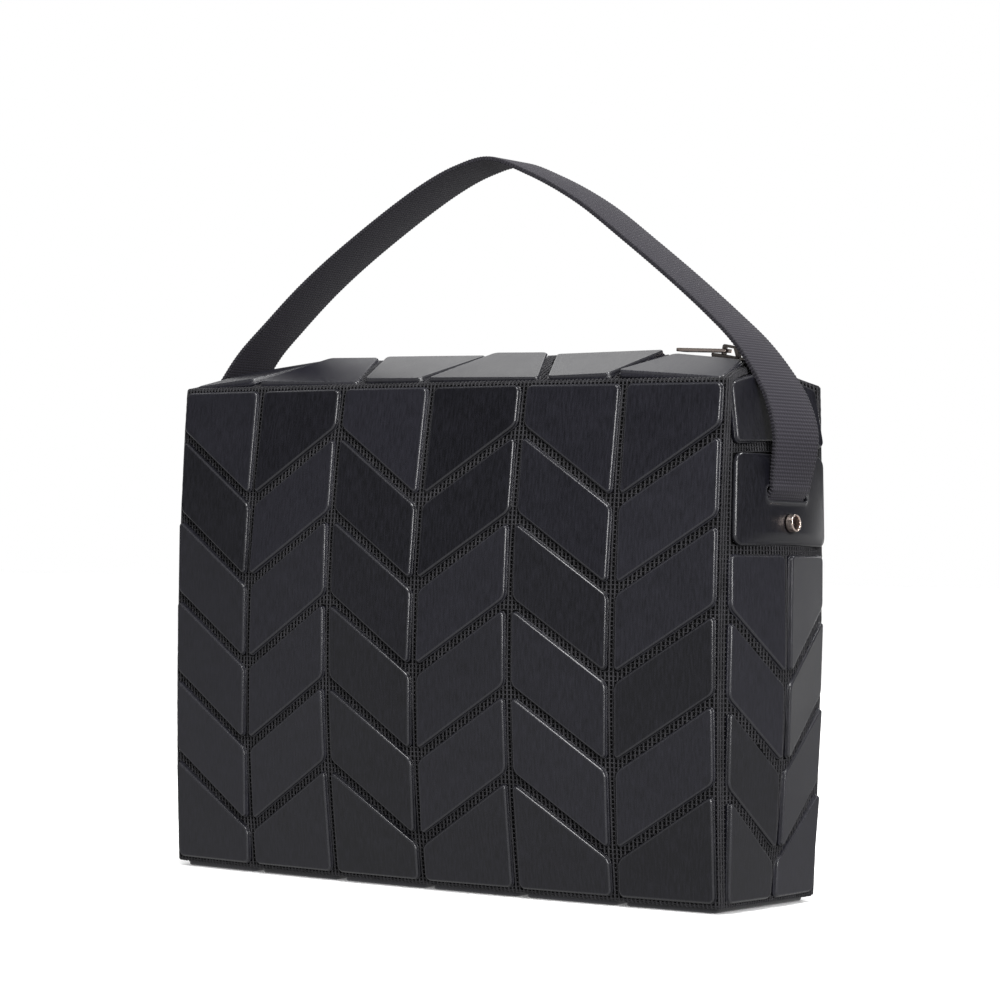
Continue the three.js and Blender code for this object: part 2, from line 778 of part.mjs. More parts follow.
function buildBag() {
  const bag = new THREE.Group();
  const add = (name, solid, finish) => bag.add(makeMesh(name, geometryOf(solid), finish));
  add('front_wall', faceWall(faces.front, 0), tileBlack);
  add('back_wall', faceWall(faces.back, faceColumns), tileBlack);
  const endCut = eyeletHole.add(tailBlock(-tailRecess, cutterLength));
  add('right_end_wall', endWall(faces.right, faceColumns).subtract(endCut), tileBlack);
  add('left_end_wall', endWall(faces.left, 0).subtract(mirrorX(endCut)), tileBlack);
  add('top_front_panel', topPanel(-1), tileBlack);
  add('top_back_panel', topPanel(1), tileBlack);
  add('base_wall', baseWall(), tileBlack);
  add('right_strap_plate', strapPlate(), tileBlack);
  add('left_strap_plate', mirrorX(strapPlate()), tileBlack);
  add('handle_strap', handle(), webbingBlack);
  bag.add(eyelet('right_eyelet', 1));
  bag.add(eyelet('left_eyelet', -1));
  add('zip_tape_front', zipTape(-1), tapeBlack);
  add('zip_tape_back', zipTape(1), tapeBlack);
  add('zip_chain', zipChain(), tapeBlack);

  const zip = new THREE.Group();
  zip.applyMatrix4(sliderFrame());
  zip.add(makeMesh('zip_slider', geometryOf(slider()), darkMetal));
  bag.add(zip);

  const hinge = new THREE.Vector3(hingePlace, 0, hingeHeight).applyMatrix4(sliderFrame());
  const pullMesh = makeMesh('zip_pull', geometryOf(pull()), darkMetal);
  pullMesh.position.copy(hinge);
  pullMesh.rotation.y = pullRest(hinge);
  bag.add(pullMesh);
  return bag;
}

export default buildBag();
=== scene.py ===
"""Looks of the zip-top box bag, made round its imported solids.

Lengths here are in millimetres. They turn into metres where a mesh is made.
"""

import math
import random

import bmesh
import bpy
import numpy as np
from mathutils import Matrix, Vector
from mathutils.geometry import delaunay_2d_cdt


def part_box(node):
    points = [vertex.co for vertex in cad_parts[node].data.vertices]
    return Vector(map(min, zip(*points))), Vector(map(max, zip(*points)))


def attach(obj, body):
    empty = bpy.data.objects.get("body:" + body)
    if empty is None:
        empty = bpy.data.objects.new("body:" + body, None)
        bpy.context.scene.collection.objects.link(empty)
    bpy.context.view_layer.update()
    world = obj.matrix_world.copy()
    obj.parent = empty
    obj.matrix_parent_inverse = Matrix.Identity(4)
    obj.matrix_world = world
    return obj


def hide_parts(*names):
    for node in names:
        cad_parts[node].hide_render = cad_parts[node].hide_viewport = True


MM = 0.001

# Body: a box whose walls swell outwards, as in the part's source
BODY_LENGTH = 274
BODY_DEPTH = 70
BODY_HEIGHT = 204
FACE_SWELL = 11.5
FACE_RIM_SWELL = 5.3
CORNER_BOW = 3.3
END_SWELL = 5.9
END_TOP_DRAW = 7.2
TOP_RISE = 12.8
END_GABLE = 6
TOP_SHOULDER = 6
TOP_CROWN = 1.6
RIM_REACH = 10

# Cloth and tiles
CLOTH = 2
TILE_STAND = 1.7
TILE_CORNER = 2.4
GROOVE = 3.8
CORNER_BAND = 4
RIM_BAND = 2.4
RIDGE_BAND = 2
CORNER_ROUND = 1.5
FACE_COLUMNS = 6
FACE_ROWS = 6
END_COLUMNS = 2
ZIGZAG_RISE = 30
TOP_SLANT = 8
ZIP_OPENING = 11
PIECE_GAP = 0.3

# Rib mesh: upright cords with cross threads between them
CORDS_PER_FACE = 150
CORDS_PER_END = 40
CROSS_PITCH = 1.76
CORD_RADIUS = 0.42
CROSS_RADIUS = 0.27
CROSS_DROP = 0.16
CORD_WOBBLE = 0.05
TUCK = 0.6
BACKING_DEPTH = 0.95
BACKING_STEPS = (8, 6)

# Plates on the ends
PLATE_TOP = BODY_HEIGHT - 29
PLATE_BOTTOM = PLATE_TOP - 35
PLATE_THICKNESS = 2
PLATE_SEAT = 0.45
PLATE_CORNER = 4
SLOT_LEVEL = BODY_HEIGHT - 44.3
SLOT_HEIGHT = 5
SLOT_WIDTH = 27.4
EYELET_LEVEL = BODY_HEIGHT - 55.4
EYELET_HOLE = 3.5

# Handle
HANDLE_WIDTH = 26
HANDLE_THICKNESS = 1.8
HANDLE_RISE = 87
HANDLE_CLEARANCE = 0.8
HANDLE_END_BELOW_EYELET = 4.6
TAIL_RECESS = 1
# The free arch: across as a share of the half span at the corners, up as one of HANDLE_RISE
ARCH_ROWS = (
    (0.932, 0.12), (0.848, 0.233), (0.72, 0.391), (0.547, 0.59), (0.371, 0.78),
    (0.191, 0.922), (0.04, 1), (-0.078, 0.97), (-0.215, 0.887), (-0.499, 0.638),
    (-0.692, 0.437), (-0.839, 0.252), (-0.939, 0.116),
)
# Beside the ends: up as a share of the way to the corner, out in thicknesses of the handle
SIDE_ROWS = ((0.4, 3.5), (0.72, 3))
SIDE_TWIST = 0.16
LINE_STEPS = 12
WEFT_PITCH = 1.42
WEFT_RELIEF = 0.1
WARP_PITCH = 0.78
BRAID_PITCH = 0.6
SELVEDGE = 1.7

# Camera: yaw, pitch and roll in degrees, place in metres, lens and sensor in millimetres
CAMERA_TURN = (35.92, 0.92, 0.92)
CAMERA_PLACE = (0.778987, -1.068033, 0.136202)
CAMERA_LENS = 115.23
SENSOR_WIDTH = 36

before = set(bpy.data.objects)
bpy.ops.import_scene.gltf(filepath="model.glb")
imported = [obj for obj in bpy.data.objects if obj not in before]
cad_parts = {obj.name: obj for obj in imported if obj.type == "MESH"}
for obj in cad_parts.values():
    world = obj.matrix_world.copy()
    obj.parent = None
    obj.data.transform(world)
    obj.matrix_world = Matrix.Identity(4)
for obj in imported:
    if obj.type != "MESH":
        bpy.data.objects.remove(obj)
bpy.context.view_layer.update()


def added(name, data):
    """New object in the scene."""
    made = bpy.data.objects.new(name, data)
    bpy.context.scene.collection.objects.link(made)
    return made


def make_camera():
    yaw, pitch, roll = (math.radians(angle) for angle in CAMERA_TURN)
    upright = Matrix.Rotation(math.pi / 2 + pitch, 4, "X")
    turn = Matrix.Rotation(yaw, 4, "Z") @ upright @ Matrix.Rotation(roll, 4, "Z")
    data = bpy.data.cameras.new("camera")
    data.sensor_width = SENSOR_WIDTH
    data.lens = CAMERA_LENS
    camera = added("camera", data)
    camera.matrix_world = Matrix.Translation(CAMERA_PLACE) @ turn
    bpy.context.scene.camera = camera


make_camera()


def swell(flat):
    """Where points of the plain box go once its walls swell."""
    x, y, z = flat[..., 0], flat[..., 1], flat[..., 2]
    u = np.clip(x / (BODY_LENGTH / 2 - CLOTH), -1, 1)
    w = np.clip(y / (BODY_DEPTH / 2 - CLOTH), -1, 1)
    floor = TILE_STAND + CLOTH
    v = np.clip((z - floor) / (BODY_HEIGHT - CLOTH - floor), 0, 1)
    belly = 1 - (2 * v - 1) ** 2
    rim = v**RIM_REACH
    shoulder = abs(u) ** TOP_SHOULDER
    crown = 1 - abs(w) ** TOP_CROWN
    face_swell = FACE_RIM_SWELL + (FACE_SWELL - FACE_RIM_SWELL) * belly
    face_out = face_swell * (1 - u**2) + CORNER_BOW * belly
    end_out = (END_SWELL * belly - END_TOP_DRAW * rim) * (1 - w**2)
    rise = (TOP_RISE + (END_GABLE - TOP_RISE) * shoulder) * crown * rim
    return np.stack([x + u * end_out, y + w * face_out, z + rise], -1)


class Wall:
    """One side of the box: a runs along it, b up it, and lift is outwards from the cloth."""

    def __init__(self, along, up, centre, half, low, high):
        self.along = np.array(along, float)
        self.up = np.array(up, float)
        self.out = np.cross(self.along, self.up)
        self.centre = np.array(centre, float)
        self.half = half
        self.low = low
        self.high = high

    def point(self, a, b, lift=0.0):
        a, b, lift = np.broadcast_arrays(*(np.asarray(v, float) for v in (a, b, lift)))
        flat = (
            self.centre
            + a[..., None] * self.along
            + b[..., None] * self.up
            + lift[..., None] * self.out
        )
        return swell(flat)

    def cloth(self, a, b, lift=0.0):
        """As point, but the cloth turns round the edges of the box."""
        a, b = np.asarray(a, float), np.asarray(b, float)
        middle = (self.low + self.high) / 2
        kept, over = [], []
        for value, half in ((a, self.half), (b - middle, (self.high - self.low) / 2)):
            inner = half - CORNER_ROUND
            beyond = np.clip((abs(value) - inner) / CORNER_ROUND, 0, 1)
            over.append(np.tan(beyond * math.pi / 4) * np.sign(value))
            kept.append(np.clip(value, -inner, inner))
        length = np.sqrt(1 + over[0] ** 2 + over[1] ** 2)
        reach = CORNER_ROUND + lift
        return self.point(
            kept[0] + reach * over[0] / length,
            middle + kept[1] + reach * over[1] / length,
            reach / length - CORNER_ROUND,
        )

    def facing(self, a, b):
        across = self.cloth(a, b, 0.5) - self.cloth(a, b, -0.5)
        return across / np.linalg.norm(across, axis=-1, keepdims=True)


X, Y, Z = (1, 0, 0), (0, 1, 0), (0, 0, 1)
HALF_LENGTH, HALF_DEPTH = BODY_LENGTH / 2, BODY_DEPTH / 2
WALLS = {
    "front": Wall(X, Z, (0, -HALF_DEPTH, 0), HALF_LENGTH, TILE_STAND, BODY_HEIGHT),
    "back": Wall((-1, 0, 0), Z, (0, HALF_DEPTH, 0), HALF_LENGTH, TILE_STAND, BODY_HEIGHT),
    "right": Wall(Y, Z, (HALF_LENGTH, 0, 0), HALF_DEPTH, TILE_STAND, BODY_HEIGHT),
    "left": Wall((0, -1, 0), Z, (-HALF_LENGTH, 0, 0), HALF_DEPTH, TILE_STAND, BODY_HEIGHT),
    "top": Wall(X, Y, (0, 0, BODY_HEIGHT), HALF_LENGTH, -HALF_DEPTH, HALF_DEPTH),
    "base": Wall(X, (0, -1, 0), (0, 0, TILE_STAND), HALF_LENGTH, -HALF_DEPTH, HALF_DEPTH),
}


# Node trees


class Field:
    """A value in a node tree. Arithmetic on it adds Math nodes."""

    def __init__(self, tree, socket):
        self.tree = tree
        self.socket = socket

    def maths(self, operation, *values):
        inputs = dict(enumerate(values))
        return self.tree.node("ShaderNodeMath", {"operation": operation}, inputs)

    def __add__(self, other):
        return self.maths("ADD", self, other)

    def __sub__(self, other):
        return self.maths("SUBTRACT", self, other)

    def __rsub__(self, other):
        return self.maths("SUBTRACT", other, self)

    def __mul__(self, other):
        return self.maths("MULTIPLY", self, other)

    def __truediv__(self, other):
        return self.maths("DIVIDE", self, other)

    __radd__ = __add__
    __rmul__ = __mul__

    def sine(self):
        return self.maths("SINE", self)

    def size(self):
        return self.maths("ABSOLUTE", self)

    def above(self, limit):
        return self.maths("GREATER_THAN", self, limit)

    def held(self, low, high):
        """Share of the way from low to high, from 0 to 1."""
        inputs = {"Value": self, "From Min": low, "From Max": high}
        return self.tree.node("ShaderNodeMapRange", {"clamp": True}, inputs)


class Tree:
    """A node tree whose nodes take fields or plain values."""

    def __init__(self, tree):
        self.nodes = tree.nodes
        self.links = tree.links

    def feed(self, node, inputs):
        for key, value in inputs.items():
            if isinstance(value, Field):
                self.links.new(value.socket, node.inputs[key])
            else:
                node.inputs[key].default_value = value

    def node(self, kind, settings=None, inputs=None, output=0):
        made = self.nodes.new(kind)
        for key, value in (settings or {}).items():
            setattr(made, key, value)
        self.feed(made, inputs or {})
        return Field(self, made.outputs[output])


class Finish(Tree):
    """A material with one main shader, fed by fields."""

    HOME, SHADER, OUTPUT = "materials", "ShaderNodeBsdfPrincipled", "ShaderNodeOutputMaterial"

    def __init__(self, name, constants):
        self.owner = getattr(bpy.data, self.HOME).new(name)
        self.owner.use_nodes = True
        super().__init__(self.owner.node_tree)
        self.nodes.clear()
        self.shader = self.nodes.new(self.SHADER)
        self.links.new(self.shader.outputs[0], self.nodes.new(self.OUTPUT).inputs[0])
        self.feed(self.shader, constants)

    def own_place(self):
        return self.node("ShaderNodeTexCoord", output="Object")

    def scaled(self, vector, scale, turn=(0, 0, 0)):
        inputs = {"Vector": vector, "Scale": scale, "Rotation": turn}
        return self.node("ShaderNodeMapping", None, inputs)

    def noise(self, vector, scale, detail=2.0, rough=0.5):
        inputs = {"Vector": vector, "Scale": scale, "Detail": detail, "Roughness": rough}
        return self.node("ShaderNodeTexNoise", None, inputs)

    def attribute(self, name):
        return self.node("ShaderNodeAttribute", {"attribute_name": name}, output="Fac")

    def part(self, vector, axis):
        return self.node("ShaderNodeSeparateXYZ", None, {0: vector}, output=axis)

    def mixed(self, factor, first, second):
        tints = (tint if isinstance(tint, Field) else (*tint, 1) for tint in (first, second))
        inputs = dict(zip((0, 6, 7), (factor, *tints)))
        return self.node("ShaderNodeMix", {"data_type": "RGBA"}, inputs, output=2)

    def bump(self, height, depth):
        """Depth in millimetres for a height of 1."""
        return self.node("ShaderNodeBump", None, {"Height": height, "Distance": depth * MM})

    def done(self, **inputs):
        named = {key.replace("_", " ").title(): value for key, value in inputs.items()}
        self.feed(self.shader, named)
        return self.owner


class Sky(Finish):
    """The same for the world."""

    HOME, SHADER, OUTPUT = "worlds", "ShaderNodeBackground", "ShaderNodeOutputWorld"


def tile_finish():
    """Satin black coating with a fine upright grain, painted paler along the bevel rims as a
    painted highlight.
    """
    made = Finish("satin_tile", {"IOR": 1.45, "Specular IOR Level": 0.62})
    place = made.node("ShaderNodeUVMap", {"uv_map": "tile_uv"})
    grain = made.noise(made.scaled(place, (1, 0.14, 1)), 1250, 4, 0.7)
    cloudy = made.noise(place, 70, 3)
    pores = made.noise(place, 3600, 1)
    tone = made.attribute("tile_tone")
    rim_paint = made.attribute("painted_rim_highlight")
    shade = (grain * 0.7 + cloudy * 0.1 + tone * 0.2).held(0.36, 0.68)
    plain = made.mixed(shade, (0.0021, 0.0021, 0.0039), (0.0127, 0.0123, 0.019))
    # Painted highlight: the bevel rims are mixed towards a paler grey, and their roughness drops a
    # little
    colour = made.mixed(rim_paint * 0.4, plain, (0.05, 0.05, 0.054))
    uneven = made.noise(place, 28, 1)
    height = grain * 0.7 + pores * 0.3 + uneven * 5
    return made.done(
        base_color=colour,
        roughness=0.23 + grain * 0.14 + tone * 0.07 + cloudy * 0.06 - rim_paint * 0.12,
        normal=made.bump(height, 0.055),
    )


def cord_finish():
    """Twisted black polyester of the rib mesh."""
    made = Finish("mesh_cord", {"Sheen Weight": 0.04, "Specular IOR Level": 0.3})
    place = made.own_place()
    fibre = made.noise(made.scaled(place, (1, 1, 0.45), (0.5, 0.3, 0)), 3800, 2)
    broad = made.noise(place, 120, 2)
    shade = (fibre * 0.6 + broad * 0.4).held(0.3, 0.75)
    colour = made.mixed(shade, (0.008, 0.0078, 0.0092), (0.036, 0.035, 0.04))
    return made.done(base_color=colour, roughness=0.5 + fibre * 0.25, normal=made.bump(fibre, 0.12))


def backing_finish():
    """Dense black cloth behind the rib mesh."""
    made = Finish("backing_cloth", {"Specular IOR Level": 0.15})
    place = made.own_place()
    weave = made.noise(place, 2600, 2)
    colour = made.mixed(weave, (0.002, 0.002, 0.0022), (0.006, 0.006, 0.0066))
    return made.done(base_color=colour, roughness=0.9 + weave * 0.08, normal=made.bump(weave, 0.08))


def webbing_finish():
    """Ribbed webbing: weft ribs across, with warp threads that pass over every other rib."""
    constants = {"Sheen Weight": 0.09, "Sheen Roughness": 0.4, "Specular IOR Level": 0.3}
    made = Finish("webbing", constants)
    place = made.own_place()
    along = made.attribute("along") / WEFT_PITCH
    across = made.part(place, "Y") / MM
    half_turn, turn = math.pi, 2 * math.pi
    warp = (across * (half_turn / WARP_PITCH)).sine() * (along * half_turn).sine()
    twist = made.noise(place, 3000, 2)
    half = HANDLE_WIDTH / 2
    edge = across.size().held(half - SELVEDGE, half - SELVEDGE + 0.5)
    braid = ((along * turn + across * (half_turn / BRAID_PITCH)).sine()) * 0.5 + 0.5
    face = warp * 0.5 + 0.5
    height = face + edge * (braid - face) + twist * 0.2
    ridge = (along * turn).sine() * 0.5 + 0.5
    rim = across.size().above(half - 0.3)
    speckle = made.noise(place, 900, 1).held(0.45, 0.6)
    side = rim * (0.55 - speckle * 0.35)
    shade = (height * 0.4 + ridge * 0.3 + twist * 0.15).held(0.1, 0.95) - side - edge * 0.08
    colour = made.mixed(shade, (0.0115, 0.0105, 0.0145), (0.042, 0.038, 0.05))
    bump = made.bump(height, 0.13)
    return made.done(base_color=colour, roughness=0.62 + twist * 0.2, normal=bump)


def tape_finish():
    """Woven zip tape: fine herringbone."""
    made = Finish("zip_tape", {"Specular IOR Level": 0.3})
    place = made.own_place()
    lean = made.part(place, "X") + made.part(place, "Y").size()
    bone = (lean * (2 * math.pi / (0.9 * MM))).sine() * 0.5 + 0.5
    fibre = made.noise(place, 3200, 2)
    colour = made.mixed(bone * 0.6 + fibre * 0.4, (0.006, 0.006, 0.0066), (0.022, 0.022, 0.024))
    bump = made.bump(bone + fibre, 0.06)
    return made.done(base_color=colour, roughness=0.8 + fibre * 0.15, normal=bump)


def coil_finish():
    """Smooth black nylon of the zip's coil."""
    made = Finish("zip_coil", {"IOR": 1.5})
    fine = made.noise(made.own_place(), 900, 2)
    colour = made.mixed(fine, (0.008, 0.008, 0.009), (0.02, 0.02, 0.022))
    return made.done(base_color=colour, roughness=0.28 + fine * 0.18, normal=made.bump(fine, 0.02))


def metal_finish(name, tint, dull, rough):
    """Polished plating with faint polishing lines and dulled spots."""
    made = Finish(name, {"Metallic": 1.0})
    place = made.own_place()
    lines = made.noise(made.scaled(place, (0.12, 1, 1)), 2400, 2)
    spots = made.noise(place, 260, 3)
    colour = made.mixed((spots * 0.7 + lines * 0.3).held(0.3, 0.75), tint, dull)
    uneven = rough + lines * 0.1 + spots * 0.08
    return made.done(base_color=colour, roughness=uneven, normal=made.bump(lines, 0.006))


TILE = tile_finish()
CORD = cord_finish()
BACKING = backing_finish()
WEBBING = webbing_finish()
TAPE = tape_finish()
COIL = coil_finish()
NICKEL = metal_finish("warm_nickel", (0.88, 0.76, 0.7), (0.66, 0.53, 0.46), 0.2)
DARK_NICKEL = metal_finish("dark_nickel", (0.3, 0.27, 0.25), (0.17, 0.15, 0.14), 0.22)


# Geometry trees


class Growth(Tree):
    """A geometry tree with named inputs, which grows a shape from a base mesh."""

    KINDS = {float: "Float", int: "Int", bpy.types.Material: "Material"}

    def __init__(self, name, values):
        self.values = values
        self.group = bpy.data.node_groups.new(name, "GeometryNodeTree")
        super().__init__(self.group)
        self.interface = self.group.interface
        self.interface.new_socket("Base", in_out="INPUT", socket_type="NodeSocketGeometry")
        self.interface.new_socket("Shape", in_out="OUTPUT", socket_type="NodeSocketGeometry")
        for label, value in values.items():
            kind = f"NodeSocket{self.KINDS[type(value)]}"
            self.interface.new_socket(label, in_out="INPUT", socket_type=kind)
        self.entry = self.nodes.new("NodeGroupInput")
        self.exit = self.nodes.new("NodeGroupOutput")

    def given(self, label):
        return Field(self, self.entry.outputs[label])

    def named(self, name, kind="FLOAT"):
        return self.node("GeometryNodeInputNamedAttribute", {"data_type": kind}, {"Name": name})

    def stretched(self, vector, share):
        inputs = {0: vector, "Scale": share}
        return self.node("ShaderNodeVectorMath", {"operation": "SCALE"}, inputs)

    def moved(self, shape, offset):
        inputs = {"Geometry": shape, "Offset": offset}
        return self.node("GeometryNodeSetPosition", None, inputs)

    def path(self, mesh, chosen=True):
        return self.node("GeometryNodeMeshToCurve", None, {"Mesh": mesh, "Selection": chosen})

    def resampled(self, path, step):
        inputs = {"Curve": path, "Length": step}
        return self.node("GeometryNodeResampleCurve", {"mode": "LENGTH"}, inputs)

    def circle(self, sides, radius):
        inputs = {"Resolution": sides, "Radius": radius}
        return self.node("GeometryNodeCurvePrimitiveCircle", {"mode": "RADIUS"}, inputs)

    def swept(self, path, profile):
        inputs = {"Curve": path, "Profile Curve": profile, "Fill Caps": True}
        return self.node("GeometryNodeCurveToMesh", None, inputs)

    def joined(self, *parts):
        made = self.node("GeometryNodeJoinGeometry")
        for part in parts:
            self.feed(made.socket.node, {0: part})
        return made

    def ends_in(self, shape, material):
        smooth = self.node("GeometryNodeSetShadeSmooth", None, {"Geometry": shape})
        real = self.node("GeometryNodeRealizeInstances", None, {"Geometry": smooth})
        inputs = {"Geometry": real, "Material": self.given(material)}
        done = self.node("GeometryNodeSetMaterial", None, inputs)
        self.feed(self.exit, {0: done})

    def grow(self, name, mesh):
        """New object with the plain mesh that the tree makes from the given one."""
        base = added(name, mesh)
        modifier = base.modifiers.new("growth", "NODES")
        modifier.node_group = self.group
        for item in self.interface.items_tree:
            if item.in_out == "INPUT" and item.name in self.values:
                modifier[item.identifier] = self.values[item.name]
        bpy.context.view_layer.update()
        depsgraph = bpy.context.evaluated_depsgraph_get()
        mesh = bpy.data.meshes.new_from_object(base.evaluated_get(depsgraph), depsgraph=depsgraph)
        base.modifiers.remove(modifier)
        base.data = mesh
        return base


def rib_mesh_growth():
    """Cords along the edges flagged upright, and thinner threads along the others, lower down."""
    values = {
        "Cord Radius": CORD_RADIUS * MM,
        "Cross Radius": CROSS_RADIUS * MM,
        "Cross Drop": CROSS_DROP * MM,
        "Wobble": CORD_WOBBLE * MM,
        "Seed": 4,
        "Material": CORD,
    }
    tree = Growth("rib_mesh", values)
    wobble = tree.given("Wobble")
    shift = tree.node(
        "FunctionNodeRandomValue",
        {"data_type": "FLOAT_VECTOR"},
        {0: wobble * -1.0, 1: wobble, "Seed": tree.given("Seed")},
    )
    loose = tree.moved(tree.given("Base"), shift)
    upright = tree.named("upright", "BOOLEAN")
    lateral = tree.node("FunctionNodeBooleanMath", {"operation": "NOT"}, {0: upright})
    drop = tree.given("Cross Drop") * -1.0
    lowered = tree.moved(loose, tree.stretched(tree.named("out", "FLOAT_VECTOR"), drop))
    parts = [
        tree.swept(tree.path(shape, chosen), tree.circle(sides, tree.given(radius)))
        for shape, chosen, sides, radius in (
            (loose, upright, 6, "Cord Radius"),
            (lowered, lateral, 4, "Cross Radius"),
        )
    ]
    tree.ends_in(tree.joined(*parts), "Material")
    return tree


def strap_growth():
    """Flat strip along a path, with weft ribs across it."""
    values = {
        "Width": HANDLE_WIDTH * MM,
        "Thickness": HANDLE_THICKNESS * MM,
        "Weft Pitch": WEFT_PITCH * MM,
        "Weft Relief": WEFT_RELIEF * MM,
        "Material": WEBBING,
    }
    tree = Growth("ribbed_strap", values)
    fine = tree.resampled(tree.path(tree.given("Base")), tree.given("Weft Pitch") / 6.0)
    length = tree.node("GeometryNodeSplineParameter", output="Length")
    marked = tree.node(
        "GeometryNodeStoreNamedAttribute",
        {"data_type": "FLOAT", "domain": "POINT"},
        {"Geometry": fine, "Name": "along", "Value": length / MM},
    )
    inputs = {"Width": tree.given("Width"), "Height": tree.given("Thickness")}
    section = tree.node("GeometryNodeCurvePrimitiveQuadrilateral", None, inputs)
    inputs = {"Curve": section, "Count": 3, "Radius": tree.given("Thickness") * 0.24}
    rounded = tree.node("GeometryNodeFilletCurve", {"mode": "POLY"}, inputs)
    fuller = tree.node("GeometryNodeSubdivideCurve", None, {"Curve": rounded, "Cuts": 1})
    phase = tree.named("along") * (2 * math.pi) / (tree.given("Weft Pitch") / MM)
    relief = phase.sine() * tree.given("Weft Relief")
    normal = tree.node("GeometryNodeInputNormal")
    ribbed = tree.moved(tree.swept(marked, fuller), tree.stretched(normal, relief))
    tree.ends_in(ribbed, "Material")
    return tree


def coil_growth():
    """Loops of nylon across the zip, leaning one way and the other in turn."""
    values = {
        "Pitch": 1.3 * MM,
        "Width": 5.0 * MM,
        "Height": 2.1 * MM,
        "Wire Radius": 0.42 * MM,
        "Lean": 0.2,
        "Material": COIL,
    }
    tree = Growth("zip_coil", values)
    spots = tree.resampled(tree.path(tree.given("Base")), tree.given("Pitch"))
    half = tree.given("Width") * 0.5
    places = {
        end: tree.node("ShaderNodeCombineXYZ", None, {axis: value})
        for end, axis, value in (
            ("Start", 1, half * -1.0),
            ("Middle", 2, tree.given("Height") * 1.7),
            ("End", 1, half),
        )
    }
    arch = tree.node("GeometryNodeCurveQuadraticBezier", None, {"Resolution": 8, **places})
    loop = tree.swept(arch, tree.circle(6, tree.given("Wire Radius")))
    index = tree.node("GeometryNodeInputIndex")
    lean = (index.maths("MODULO", index, 2.0) * 2.0 - 1.0) * tree.given("Lean")
    angle = tree.node("ShaderNodeCombineXYZ", None, {2: lean})
    inputs = {"Points": spots, "Instance": loop, "Rotation": angle}
    loops = tree.node("GeometryNodeInstanceOnPoints", None, inputs)
    tree.ends_in(loops, "Material")
    return tree


# Pieces


def settled(piece, nodes, body="bag"):
    """Tells the frame what the piece rides on, and the nodes that it replaces."""
    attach(piece, body)
    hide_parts(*nodes)


def placed(name, mesh, nodes):
    settled(added(name, mesh), nodes)


def mesh_of(name, points, faces, material, edges=()):
    mesh = bpy.data.meshes.new(name)
    mesh.from_pydata((np.asarray(points) * MM).tolist(), list(edges), faces)
    mesh.polygons.foreach_set("use_smooth", [True] * len(mesh.polygons))
    if material:
        mesh.materials.append(material)
    mesh.update()
    return mesh


def line_mesh(name, points):
    edges = [(i, i + 1) for i in range(len(points) - 1)]
    return mesh_of(name, points, [], None, edges)


def ring_faces(first, second, count):
    """Quads between two rings of the same count, given by their first indices."""
    return [
        (first + i, first + (i + 1) % count, second + (i + 1) % count, second + i)
        for i in range(count)
    ]


def cross2(a, b):
    return a[0] * b[1] - a[1] * b[0]


def inset_outline(corners, margins):
    """A convex outline moved inwards, each side by its own margin."""
    sides = []
    for i, corner in enumerate(corners):
        along = corners[(i + 1) % len(corners)] - corner
        along = along / np.linalg.norm(along)
        sides.append((corner + np.array([-along[1], along[0]]) * margins[i], along))
    made = []
    for i, (start, along) in enumerate(sides):
        before, before_along = sides[i - 1]
        reach = cross2(start - before, along) / cross2(before_along, along)
        made.append(before + before_along * reach)
    return np.array(made)


def oblong(half, low, high):
    return np.array([(-half, low), (half, low), (half, high), (-half, high)])


def rounded_outline(corners, cut, steps=5):
    """The outline with an arc at each corner, from cut before it to cut after it."""
    points = []
    for i, corner in enumerate(corners):
        ways = [corners[i - 1] - corner, corners[(i + 1) % len(corners)] - corner]
        lengths = [np.linalg.norm(way) for way in ways]
        reach = min(cut, lengths[0] / 3, lengths[1] / 3)
        enter, leave = (way * reach / length for way, length in zip(ways, lengths))
        middle = enter + leave
        centre = middle * reach**2 / (middle @ enter)
        spokes = enter - centre, leave - centre
        swing = math.acos(spokes[0] @ spokes[1] / (spokes[0] @ spokes[0]))
        for t in np.linspace(0, 1, steps + 1):
            first, second = math.sin((1 - t) * swing), math.sin(t * swing)
            spoke = (spokes[0] * first + spokes[1] * second) / math.sin(swing)
            points.append(corner + centre + spoke)
    return np.array(points)


def moved_outline(outline, distance):
    """The outline moved outwards by a distance, or inwards by a negative one."""
    before = outline - np.roll(outline, 1, 0)
    after = np.roll(outline, -1, 0) - outline
    normals = []
    for side in (before, after):
        side = side / np.maximum(np.linalg.norm(side, axis=1, keepdims=True), 1e-9)
        normals.append(np.stack([side[:, 1], -side[:, 0]], 1))
    middle = normals[0] + normals[1]
    return outline + distance * 2 * middle / (middle**2).sum(1, keepdims=True)


# Rings of a tile from its foot inwards over the top: outset from the outline, height
TILE_PROFILE = (
    (0.3, -1.3), (0.5, 0.05), (0.46, 0.26), (0.3, 0.36), (0.06, 0.4), (0, 0.5), (0, 1.2),
    (-0.04, 1.28), (-0.42, 1.66), (-0.54, 1.7), (-0.85, 1.7),
)
# The rings over the bevel, which are painted paler as a highlight
EDGE_RINGS = range(6, 10)
# How much single tiles lean at most, in radians; the base stands flat
FACE_TILT = 0.013
TILE_TILTS = {"base_wall": 0, "top_front_panel": 0.03, "top_back_panel": 0.03}


